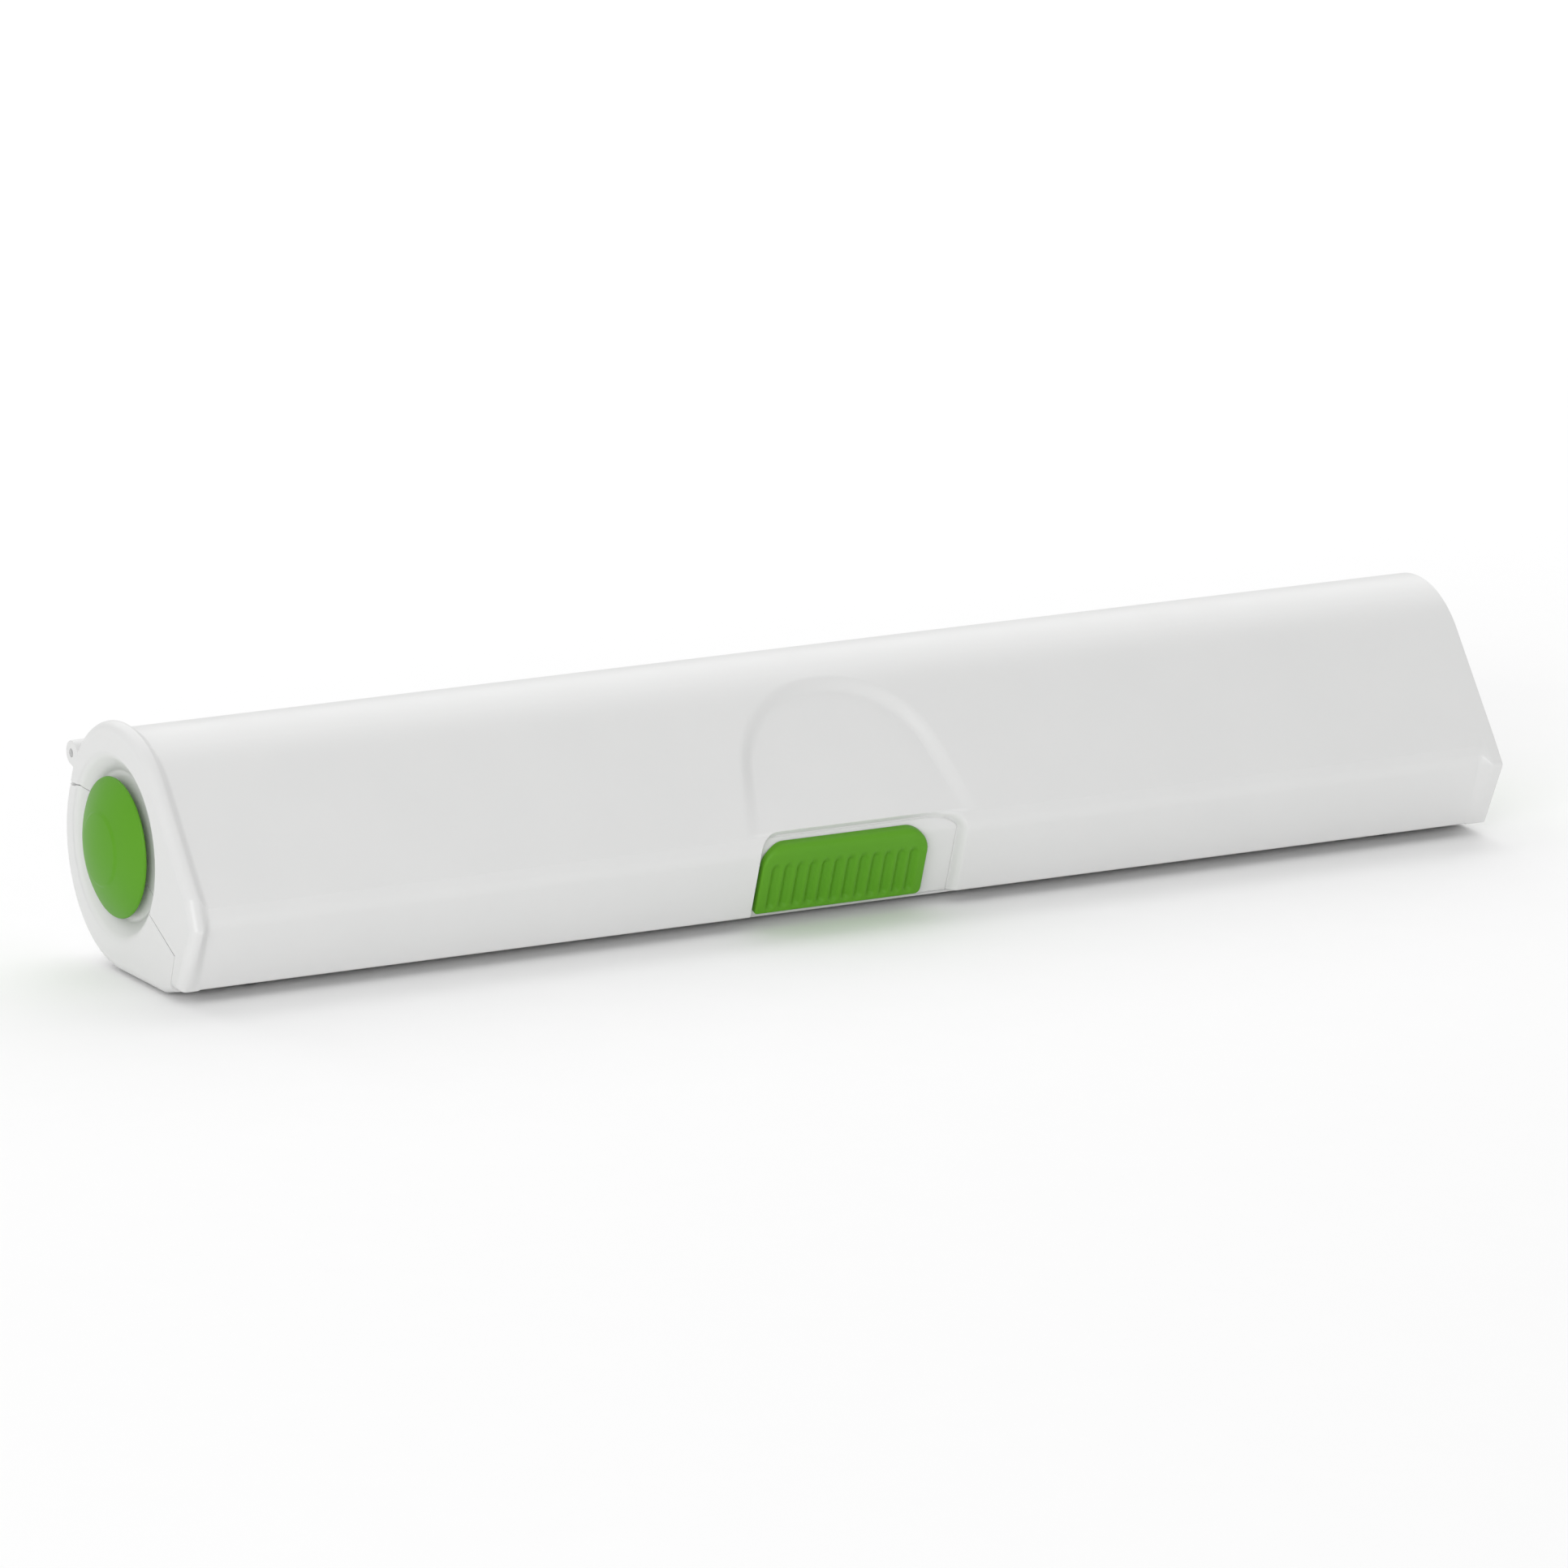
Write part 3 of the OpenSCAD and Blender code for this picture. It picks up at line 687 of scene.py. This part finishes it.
def cover_ring(x, d):
    """The cover's section at x, its outer edges moved d inwards."""
    w = bead_at(x)
    bead = BEAD_H * w if x < 0 else 0
    if in_end_wall(x):
        foot = [Vector((SEAM_LIP_Y - SEAM, LIP.y + d)), SEAM_STEP + Vector((-SEAM, SEAM))]
    else:
        foot = [in_lip(LIP_BACK_G, 0), in_lip(LIP_BACK_G, LIP_BACK_H)]
    if w > 0:
        shoulder = CREASE + BEAD_CREASE_UP * SLOPE_U + (BEAD_H if x < 0 else 0) * SLOPE_N
        corners = (
            BARREL_C + (BARREL_R + bead) * SLOPE_N,
            CREASE.lerp(shoulder, w),
            NOSE.lerp(BEAD_CORNER, w),
            LIP,
            foot[0] - Vector((0, d)),
        )
        crease_r = max(LEAST_R, BEAD_CREASE_R - d)
        nose_r = max(LEAST_R, NOSE_R - (NOSE_R - BEAD_NOSE_R) * w - d)
        run = brow(BARREL_R + bead - d) + skin(corners, (crease_r, nose_r, BEAD_LIP_R), d, d)
    else:
        run = front(x)
    low = SEAM_BACK.y + SEAM
    radius = BARREL_R + bead - d
    low_angle = math.degrees(math.asin((low - BARREL_C.y) / radius))
    seam = [SEAM_FRONT + Vector((0, SEAM)), Vector((0, SEAM)), Vector((SEAM_BACK.x, low))]
    barrel = arc(BARREL_C, radius, low_angle, SLOPE_DEG - BROW, ARC_STEPS)[:-1]
    return [place(x, p) for p in run + foot + seam + barrel]


def cavity(x0, x1, slope_d, lip_d):
    """What is hollow behind the cover's skin between x0 and x1."""
    section = [
        inset_corner(SLOPE_TOP + SLOPE_U, SLOPE_TOP, CREASE, slope_d, slope_d),
        inset_corner(SLOPE_TOP, CREASE, NOSE, slope_d, lip_d),
        inset_corner(CREASE, NOSE, LIP, lip_d, lip_d),
        in_lip(lip_d, HOLLOW_H),
        in_lip(HOLLOW_G, HOLLOW_H),
    ]
    section += HOLLOW_FOOT
    radius = BARREL_R - WALL
    low_angle = math.degrees(math.asin((HOLLOW_LOW_Z - BARREL_C.y) / radius))
    section += arc(BARREL_C, radius, low_angle, SLOPE_DEG, ARC_STEPS)[:-1]
    return loft("hollow", [[place(x, p) for p in section] for x in (x0, x1)])


def knuckle(x0, x1):
    """One of the cover's hinge knuckles, with the neck that carries it."""
    neck_u = (HINGE - BARREL_C).normalized()
    neck_v = Vector((-neck_u.y, neck_u.x))
    start = BARREL_C + (BARREL_R - WALL / 2) * neck_u
    half = EAR_R * neck_v
    neck = [start - half, HINGE - half, HINGE + half, start + half]
    piece = bar("knuckle", disc(HINGE, KNUCKLE_R), x0, x1, KNUCKLE_EDGE)
    combine(piece, bar("neck", neck, x0, x1, KNUCKLE_EDGE), "UNION")
    return piece


def guides(x):
    """The parts of one guide of the latch bar: its pad in front, and the rails below and above."""
    foot, head = BAR_H[0] - GUIDE_T, BAR_H[1] + GUIDE_T
    rail_g = (WALL, BAR_G[1] + GUIDE_BACK)
    boxes = (
        ((WALL - SUNK, BAR_G[0] - CLEAR), (foot, head)),
        (rail_g, (foot, BAR_H[0] - CLEAR)),
        (rail_g, (BAR_H[1] + CLEAR, head)),
    )
    return [bar("guide", lip_box(g, h), x - GUIDE_HALF, x + GUIDE_HALF) for g, h in boxes]


def make_cover():
    """The upper shell, with the bosses and guides behind its lip, its knuckles, dishes and bores."""
    middle = [x for span in COVER_SPANS for x in spread(*span)]
    cover = loft("cover_shell", [cover_ring(x, d) for x, d in stations(middle)])
    lap = 0.01          # the hollows overlap by this, so no film of wall stays between them
    combine(cover, cavity(-INNER_X, PAD_X[0], WALL, WALL), "DIFFERENCE")
    combine(cover, cavity(PAD_X[0] - lap, PAD_X[1] + lap, WALL + ARCH_D, BLADE_G), "DIFFERENCE")
    combine(cover, cavity(PAD_X[1], INNER_X, WALL, WALL), "DIFFERENCE")
    boss_end = FILM_W / 2 + BOSS_PAST
    for x0, x1 in ((-boss_end, PAD_X[0] + BOSS_LAP), (PAD_X[1] - BOSS_LAP, boss_end)):
        combine(cover, bar("boss", lip_box((WALL - SUNK, BLADE_G), BOSS_H), x0, x1), "UNION")
    for x in GUIDE_X:
        for part in guides(x):
            combine(cover, part, "UNION")
    for span in KNUCKLES:
        for x0, x1 in both_ends(span):
            combine(cover, knuckle(x0, x1), "UNION")
    cut_ends(cover, STEM_ROOM)
    slot = lip_box((0, BLADE_G + PAST), (STEM_H[0] - CLEAR, STEM_H[1] + CLEAR))
    slot_x = (STEM_X - STEM_W / 2 - CLEAR, STEM_X + STEM_W / 2 + LATCH_TRAVEL + CLEAR)
    combine(cover, bar("slot", slot, *slot_x, SQUARE), "DIFFERENCE")
    dress(cover, ["top_cover"], "cover", "white_shell")


# ---------- Base ----------
TRAY_Z = FLOOR_Z + WALL
KEEL_R = 2
EAR_STEPS = 16
FEET = ("foot_front_left", "foot_front_right", "foot_rear_left", "foot_rear_right")


def tray_corner(g):
    """Where a face of the front wall, at depth g of the lip, meets the tray."""
    return in_lip(g, (TRAY_Z - LIP.y - g * LIP_G.y) / LIP_U.y)


def base_ring(x, d):
    """The base's section at x, its outer edges moved d inwards."""
    bead = BEAD_H * bead_at(x) if x < 0 else 0
    high = SEAM_BACK.y - SEAM
    seam = [Vector((SEAM_BACK.x, high))]
    if in_end_wall(x):
        ledge = Vector((SEAM_LIP_Y + LIP_GAP, LEDGE.y + d))
        seam += [Vector((0, -SEAM)), SEAM_FRONT - Vector((0, SEAM))]
        seam += [SEAM_STEP + Vector((SEAM, -SEAM)), ledge + Vector((0, LIP.y - LEDGE.y))]
    else:
        ledge = LEDGE
        g0, g1 = FRONT_WALL_G
        seam += [in_lip(g1, FRONT_WALL_H), in_lip(g0, FRONT_WALL_H)]
        seam += [tray_corner(g0), Vector((LEDGE.x, TRAY_Z))]
    centre = TROUGH_C + Vector((0, bead))
    radius = TROUGH_R + bead - d
    top_angle = math.degrees(math.asin((high - centre.y) / radius))
    keel = inset_corner(LEDGE, FLOOR_FRONT, Vector((0, FLOOR_Z)), d, d)
    run = [ledge] + fillet(ledge, keel, Vector((0, FLOOR_Z + d)), KEEL_R, 6)
    run += arc(centre, radius, -90, top_angle, ARC_STEPS) + seam
    return [place(x, p) for p in run]


def ear(x0, x1):
    """The ear that stands between two of the cover's knuckles."""
    reach = (HINGE - BARREL_C).length
    outer, inner = reach + EAR_OUT, reach - EAR_R
    low, high = EAR_FOOT - BARREL_C.y, HINGE.y - EAR_UNDER - BARREL_C.y
    angles = [[math.degrees(math.asin(z / radius)) for z in (low, high)] for radius in (outer, inner)]
    ring = arc(BARREL_C, outer, *angles[0], EAR_STEPS)
    ring += arc(BARREL_C, inner, *angles[1][::-1], EAR_STEPS)
    piece = bar("ear", ring, x0, x1)
    combine(piece, bar("ear_tip", disc(HINGE, EAR_R), x0, x1), "UNION")
    return piece


def tray_hollow():
    """What is hollow above the tray and behind the front wall, open at the top."""
    over_wall = 2
    over_all = 30
    g1 = FRONT_WALL_G[1]
    section = [in_lip(g1, FRONT_WALL_H + over_wall), tray_corner(g1)]
    section += arc(TROUGH_C, TROUGH_R - WALL, -90, 45, ARC_STEPS)
    section += [Vector((15, over_all)), Vector((-25, over_all))]
    return loft("hollow", [[place(x, p) for p in section] for x in (-INNER_X, INNER_X)])


def add_foot(base, name):
    """A rubber foot with a dimple under it, in a hole of its own in the base's floor."""
    edge = 0.5
    dimple_r, dimple_h = 1.2, 0.25
    play = 0.1
    steps = 48
    low, high = (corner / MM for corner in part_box(name))
    stand = Matrix.Translation(((low.x + high.x) / 2, (low.y + high.y) / 2, 0))
    hole = [(0, -PAST), (FOOT_R + play, -PAST), (FOOT_R + play, high.z), (0, high.z)]
    combine(base, lathe("hole", hole, [stand], steps), "DIFFERENCE")
    profile = [(0, high.z), (FOOT_R, high.z)]
    profile += [tuple(p) for p in arc(Vector((FOOT_R - edge, edge)), edge, 0, -90, 6)]
    profile += [(dimple_r + 0.4, 0), (dimple_r, dimple_h), (0, dimple_h)]
    dress(lathe(name + "_pad", profile, [stand], steps), [name], "base", "rubber")


def make_base():
    """The lower shell, with its ears, dishes and bores, and the four feet in its floor."""
    middle = spread(-INNER_X + 2, INNER_X - 2, 12)
    base = loft("base_shell", [base_ring(x, d) for x, d in stations(middle)])
    combine(base, tray_hollow(), "DIFFERENCE")
    combine(base, bore(-END_X - PAST, END_X + PAST, HINGE, SWEEP_R), "DIFFERENCE")
    for x0, x1 in both_ends(EAR):
        combine(base, ear(x0, x1), "UNION")
    cut_ends(base, STEM_PLAY)
    for name in FEET:
        add_foot(base, name)
    dress(base, ["base_trough"], "base", "white_shell")


# ---------- Slider ----------
SLIDER_H = (0.8, CREASE_H - 2.1)
LOW_R = 1.6
TOP_R = 6
SLIDER_RADII = (0.6, LOW_R, 5.5, TOP_R)     # low left, low right, top left, top right
GROOVES = 12
GROOVE_PITCH = 3.3
GROOVE_FOOT = 3
GROOVE_TOP = 12.7
GROOVE_W = 1.5          # half the width of a groove
GROOVE_D = 0.9
EDGE_R = 0.5
TOP_EDGE_R = 1.1
TOP_EDGE_L = 5          # height over which EDGE_R grows into TOP_EDGE_R, near the top
COLUMN_INSETS = (0, 0.03, 0.08, 0.16, 0.28, 0.42, 0.6, 0.8, 1.1)
COLUMNS_FROM = 1.2      # how far inside the plate the even columns begin
COLUMNS_A_GROOVE = 12
CORNER_ROWS = 12


def lip_depth(run, h):
    """Depth in the lip of a front section at height h."""
    spots = [((p - LIP).dot(LIP_U), (p - LIP).dot(LIP_G)) for p in run]
    for (h1, g1), (h0, g0) in zip(spots, spots[1:]):
        if h0 <= h <= h1:
            return g0 + (g1 - g0) * (h - h0) / (h1 - h0)
    return spots[-1][1]


def slider_relief(x, h):
    """How far the slider's face lies back at (x, h): its rounded edge and its soft grooves."""
    inside = max(0, plate_inside(x, h, SLIDER_X, SLIDER_H, SLIDER_RADII))
    radius = EDGE_R + (TOP_EDGE_R - EDGE_R) * smooth((h - SLIDER_H[1] + TOP_R) / TOP_EDGE_L)
    depth = radius - math.sqrt(radius ** 2 - max(0, radius - inside) ** 2)
    last = (GROOVES - 1) / 2
    nearest = round((x - STEM_X) / GROOVE_PITCH - 0.5) + 0.5
    groove_x = STEM_X + max(-last, min(last, nearest)) * GROOVE_PITCH
    away = math.hypot(x - groove_x, max(0, h - GROOVE_TOP, GROOVE_FOOT - h))
    return depth + GROOVE_D * smooth((GROOVE_W - away) / GROOVE_W)


def slider_rows():
    """Heights of the rows, close together where the corners turn."""
    low, high = SLIDER_H
    rows = set(spread(low + LOW_R, high - TOP_R, FINE_STEP))
    for i in range(CORNER_ROWS + 1):
        a = math.radians(90 * i / CORNER_ROWS)
        rows.add(low + LOW_R * (1 - math.sin(a)))
        rows.add(high - TOP_R + TOP_R * math.sin(a))
    return sorted(rows)


def slider_columns():
    """Values of x across the slider, close together at its edges and in step with the grooves between."""
    left, right = SLIDER_X
    step = GROOVE_PITCH / COLUMNS_A_GROOVE
    first = math.ceil((left + COLUMNS_FROM - STEM_X) / step)
    last = math.floor((right - COLUMNS_FROM - STEM_X) / step)
    between = [STEM_X + k * step for k in range(first, last + 1)]
    near_left = [left + inset for inset in COLUMN_INSETS]
    near_right = [right - inset for inset in reversed(COLUMN_INSETS)]
    return near_left + between + near_right


def slider_row(h):
    """Values of x across the slider at height h, where its corners may make it narrower."""
    high = h > sum(SLIDER_H) / 2
    reach = SLIDER_H[1] - h if high else h - SLIDER_H[0]
    insets = []
    for radius in SLIDER_RADII[2:] if high else SLIDER_RADII[:2]:
        past = max(0, radius - reach)
        insets.append(radius - math.sqrt(max(0, radius ** 2 - past ** 2)))
    x0, x1 = SLIDER_X[0] + insets[0], SLIDER_X[1] - insets[1]
    stretch = (x1 - x0) / (SLIDER_X[1] - SLIDER_X[0])
    return [x0 + (x - SLIDER_X[0]) * stretch for x in slider_columns()]


def slider_plate():
    """The slider's face and back, as two grids joined round their rim."""
    back_run = skin(MIDDLE, (CREASE_R / 2, NOSE_R - SLIDER_T, LIP_R), SLIDER_T, 0)
    rows = [(h, slider_row(h)) for h in slider_rows()]
    wide = len(rows[0][1])
    tall = len(rows)
    verts = []
    for h, xs in rows:
        face_g = lip_depth(FRONT, h)
        verts += [place(x, in_lip(face_g + slider_relief(x, h), h)) for x in xs]
    for h, xs in rows:
        back_g = lip_depth(back_run, h)
        verts += [place(x, in_lip(back_g, h)) for x in xs]
    faces = []
    for side in (0, wide * tall):
        for j in range(tall - 1):
            for i in range(wide - 1):
                k = side + j * wide + i
                faces.append([k, k + 1, k + wide + 1, k + wide])
    rim = list(range(wide)) + [j * wide + wide - 1 for j in range(1, tall)]
    rim += [(tall - 1) * wide + i for i in range(wide - 2, -1, -1)]
    rim += [j * wide for j in range(tall - 2, 0, -1)]
    for a, b in zip(rim, rim[1:] + rim[:1]):
        faces.append([a, b, b + wide * tall, a + wide * tall])
    return make("slider", verts, faces)


def make_slider():
    """The green slider, with the stem that reaches through the slot to the latch bar."""
    slider = slider_plate()
    stem = lip_box((SLIDER_T - STEM_SUNK, BAR_G[0]), STEM_H)
    combine(slider, bar("stem", stem, STEM_X - STEM_W / 2, STEM_X + STEM_W / 2), "UNION")
    dress(slider, ["latch_slider"], "latch", "green_plastic", 40)


# ---------- Knobs ----------
RIM_R = 0.7
RIM_BEVEL = 0.4         # bevel on the rim's hidden back edge
DOME_START = 0.9        # how far inside the rim the dome's points begin
RING_R = 8.55
RING_H = 0.3            # how far the plain disc in the middle stands proud
RING_EDGE = 0.3         # half the width of its soft edge
STEM_FOOT = INNER_X - COLLAR_GAP - KNOB_FACE


def knob_profile():
    """A knob's stem, rim and dome, with heights from the plane of its rim."""
    dome_r = (KNOB_R ** 2 + KNOB_DOME ** 2) / (2 * KNOB_DOME)
    profile = [(0, STEM_FOOT), (STEM_R, STEM_FOOT), (STEM_R, -KNOB_EDGE), (KNOB_R - RIM_BEVEL, -KNOB_EDGE)]
    profile += [(KNOB_R, -KNOB_EDGE + RIM_BEVEL), (KNOB_R, -RIM_R)]
    profile += [tuple(p) for p in arc(Vector((KNOB_R - RIM_R, -RIM_R)), RIM_R, 15, 60, 4)]
    for radius in spread(KNOB_R - DOME_START, 0, FINE_STEP):
        rise = math.sqrt(dome_r ** 2 - radius ** 2) - dome_r + KNOB_DOME
        sunk = RING_H * (1 - smooth((RING_R + RING_EDGE - radius) / (2 * RING_EDGE)))
        profile.append((radius, rise - sunk))
    return profile


def make_knobs():
    """The two domed knobs that turn with the roll."""
    for name, side in (("knob_left", -1), ("knob_right", 1)):
        knob = lathe(name + "_cap", knob_profile(), [axis_matrix(side * KNOB_FACE, AXIS, side)])
        dress(knob, [name], "roll", "green_plastic")


# ---------- Screws and pins ----------
BLADE_SCREW = {"radius": 1.8, "height": 0.8, "shank_r": 1, "shank_l": 2.6}
BLADE_SCREW_X = (-135, -90, -45, 50, 90, 135)
BLADE_SCREW_H = 5.8
BLADE_CLAMP_G = BLADE_G + 1.6   # depth of the clamp's back, where the blade screws' heads lie
LATCH_SCREW = {"radius": 1.4, "height": 0.7, "shank_r": 0.8, "shank_l": 3.4}
LATCH_SCREW_X = (STEM_X - STEM_W / 4, STEM_X + STEM_W / 4)
KEEPER_SCREW = {"radius": 1.1, "height": 0.5, "shank_r": 0.8, "shank_l": 2.3}
KEEPER_SCREW_X = (-156.3, 160.7)
KEEPER_SCREW_G = 8.2
KEEPER_SCREW_H = 8.2
PLUG_SCREW = {"radius": 2.8, "height": 1.8, "shank_r": 1.2, "shank_l": 7}
PLUG_WEB = 3            # thickness of a core plug's end
PIN_BEVEL = 0.25


def pan_head(radius, height, shank_r, shank_l):
    """Profile of a screw with its head's underside at height 0 and its domed top above."""
    side = 0.4 * height     # the head's straight side, under its dome
    point = 0.5
    shank = [(0, -shank_l), (shank_r * 0.6, -shank_l), (shank_r, -shank_l + point), (shank_r, 0)]
    turns = [math.radians(a) for a in (0, 20, 40, 60, 75)]
    dome = [(radius * math.cos(a), side + height * 0.6 * math.sin(a)) for a in turns]
    return shank + [(radius, 0)] + dome + [(0, height)]


def screws(name, node, body, places, radius, height, shank_r, shank_l):
    """Cross-recessed screws that stand in for one CAD node."""
    piece = lathe(name, pan_head(radius, height, shank_r, shank_l), places, 32)
    arm, half = radius * 0.55, radius * 0.13
    cross = [(half, half), (half, arm), (-half, arm), (-half, half), (-arm, half), (-arm, -half)]
    cross += [(-half, -half), (-half, -arm), (half, -arm), (half, -half), (arm, -half), (arm, half)]
    combine(piece, prism("cross", cross, height * 0.45, height + PAST, places), "DIFFERENCE")
    dress(piece, [node], body, "steel")


def make_screws():
    """The screws of the blade, the latch bar, the keepers and the core plugs. The first two sets are driven
    from inside the casing, so their heads point inwards."""
    inwards = Matrix.Rotation(math.pi, 4, "X")
    blade = [lip_matrix(x, BLADE_CLAMP_G, BLADE_SCREW_H) @ inwards for x in BLADE_SCREW_X]
    screws("blade_screw_set", "blade_screws", "cover", blade, **BLADE_SCREW)
    latch = [lip_matrix(x, BAR_G[1], sum(STEM_H) / 2) @ inwards for x in LATCH_SCREW_X]
    screws("latch_screw_set", "latch_screws", "latch", latch, **LATCH_SCREW)
    keeper = [lip_matrix(x, KEEPER_SCREW_G, KEEPER_SCREW_H) for x in KEEPER_SCREW_X]
    screws("keeper_screw_set", "keeper_screws", "base", keeper, **KEEPER_SCREW)
    plug_head = INNER_X - COLLAR_GAP - PLUG_WEB
    plug = [axis_matrix(side * plug_head, AXIS, -side) for side in (-1, 1)]
    screws("plug_screw_set", "plug_screws", "roll", plug, **PLUG_SCREW)


def make_pins():
    """The two steel pins that the cover swings about."""
    tip_r = PIN_R - PIN_BEVEL
    profile = [
        (0, 0), (tip_r, 0), (PIN_R, PIN_BEVEL), (PIN_R, PIN_L - PIN_BEVEL), (tip_r, PIN_L), (0, PIN_L),
    ]
    for name, side in (("hinge_pin_left", -1), ("hinge_pin_right", 1)):
        place_in = axis_matrix(side * (END_X - PIN_SUNK), HINGE, -side)
        pin = lathe(name.replace("hinge_", "") + "_rod", profile, [place_in], 32)
        dress(pin, [name], "cover", "steel")


# ---------- Roll ----------
CORE_R = 15
CORE_BORE_R = 13.5
CORE_L = 300
CORE_BEVEL = 0.2
FILM_R = 19.5
FILM_BEVEL = 0.3
WRAP_T = 0.3            # drawn thickness of a wrap, seen at the film's ends
WRAP_STEP = 0.12        # how far every other wrap stands back there


def make_tube(name, node, half_profile, slot):
    """A tube on the roll's axis that is the same at both ends, from the profile of its left end."""
    profile = half_profile + [(radius, -z) for radius, z in reversed(half_profile)]
    tube = lathe(name, profile, [axis_matrix(0, AXIS)], closed=True)
    dress(tube, [node], "roll", slot)


def make_roll():
    """The cardboard core and the film wound on it."""
    end = -CORE_L / 2
    core = [
        (CORE_BORE_R, end + CORE_BEVEL),
        (CORE_BORE_R + CORE_BEVEL, end),
        (CORE_R - CORE_BEVEL, end),
        (CORE_R, end + CORE_BEVEL),
    ]
    make_tube("core_tube", "cardboard_core", core, "board")
    end = -FILM_W / 2
    wraps = spread(CORE_R + WRAP_T, FILM_R - WRAP_T, WRAP_T)
    film = [(CORE_R, end)] + [(r, end + WRAP_STEP * (i % 2)) for i, r in enumerate(wraps)]
    film.append((FILM_R, end + FILM_BEVEL))
    make_tube("wound_film", "film_roll", film, "film")


# ---------- CAD pieces that keep their shape ----------
# Each with its finish, and the width of the bevel on its edges
KEPT = {
    "cutter_blade": ("steel", 0.03),
    "blade_clamp": ("white_shell", 0.2),
    "latch_bar": ("white_shell", 0.2),
    "detent_spring": ("steel", 0.03),
    "keeper_left": ("white_shell", 0.12),
    "keeper_right": ("white_shell", 0.12),
    "grip_strip": ("rubber", 0.2),
    "core_plug_left": ("white_shell", 0.25),
    "core_plug_right": ("white_shell", 0.25),
    "film_lead": ("film", 0.02),
}


def finish_kept():
    """Softens the edges of the kept CAD pieces and gives them their finishes."""
    for name, (slot, width) in KEPT.items():
        node = frame["nodes"][name]
        edge = node.modifiers.new("soft_edges", "BEVEL")
        edge.width = width * MM
        edge.segments = 2
        edge.angle_limit = math.radians(40)
        for material_slot in node.material_slots:
            material_slot.material = FINISH[slot]


add_camera()
make_cover()
make_base()
make_slider()
make_knobs()
make_screws()
make_pins()
make_roll()
finish_kept()

# ---------- Floor and light ----------
FLOOR_HALF = 6000       # half the floor's side, far past the edge of the picture
WORLD_STRENGTH = 0.66

floor_corners = [Vector((x * FLOOR_HALF, y * FLOOR_HALF, 0)) for x, y in ((-1, -1), (1, -1), (1, 1), (-1, 1))]
floor = make("floor", floor_corners, [[0, 1, 2, 3]])
floor.data.materials.append(finish("floor", (0.95, 0.95, 0.95), (0.97, 0.97, 0.97), (0.8, 0.9), 300, 0.01))


def softbox(name, width, height, power, spot, aim):
    """A rectangular light at spot that faces aim, with sizes and places in metres and power in watts."""
    light = bpy.data.lights.new(name, "AREA")
    light.shape = "RECTANGLE"
    light.size = width
    light.size_y = height
    light.energy = power
    piece = bpy.data.objects.new(name, light)
    bpy.context.scene.collection.objects.link(piece)
    piece.location = spot
    piece.rotation_euler = (Vector(aim) - Vector(spot)).to_track_quat("-Z", "Y").to_euler()


softbox("back", 4, 3, 45, (0.6, 1.8, 2.1), (0, 0, 0))
softbox("front_left", 1.4, 0.9, 20, (-1.7, -1.9, 0.8), (0, 0, 0.03))

world = bpy.data.worlds.new("studio")
world.use_nodes = True
backdrop = world.node_tree.nodes["Background"]
backdrop.inputs["Color"].default_value = (1, 1, 1, 1)
backdrop.inputs["Strength"].default_value = WORLD_STRENGTH
bpy.context.scene.world = world
bpy.context.scene.view_settings.view_transform = "Standard"
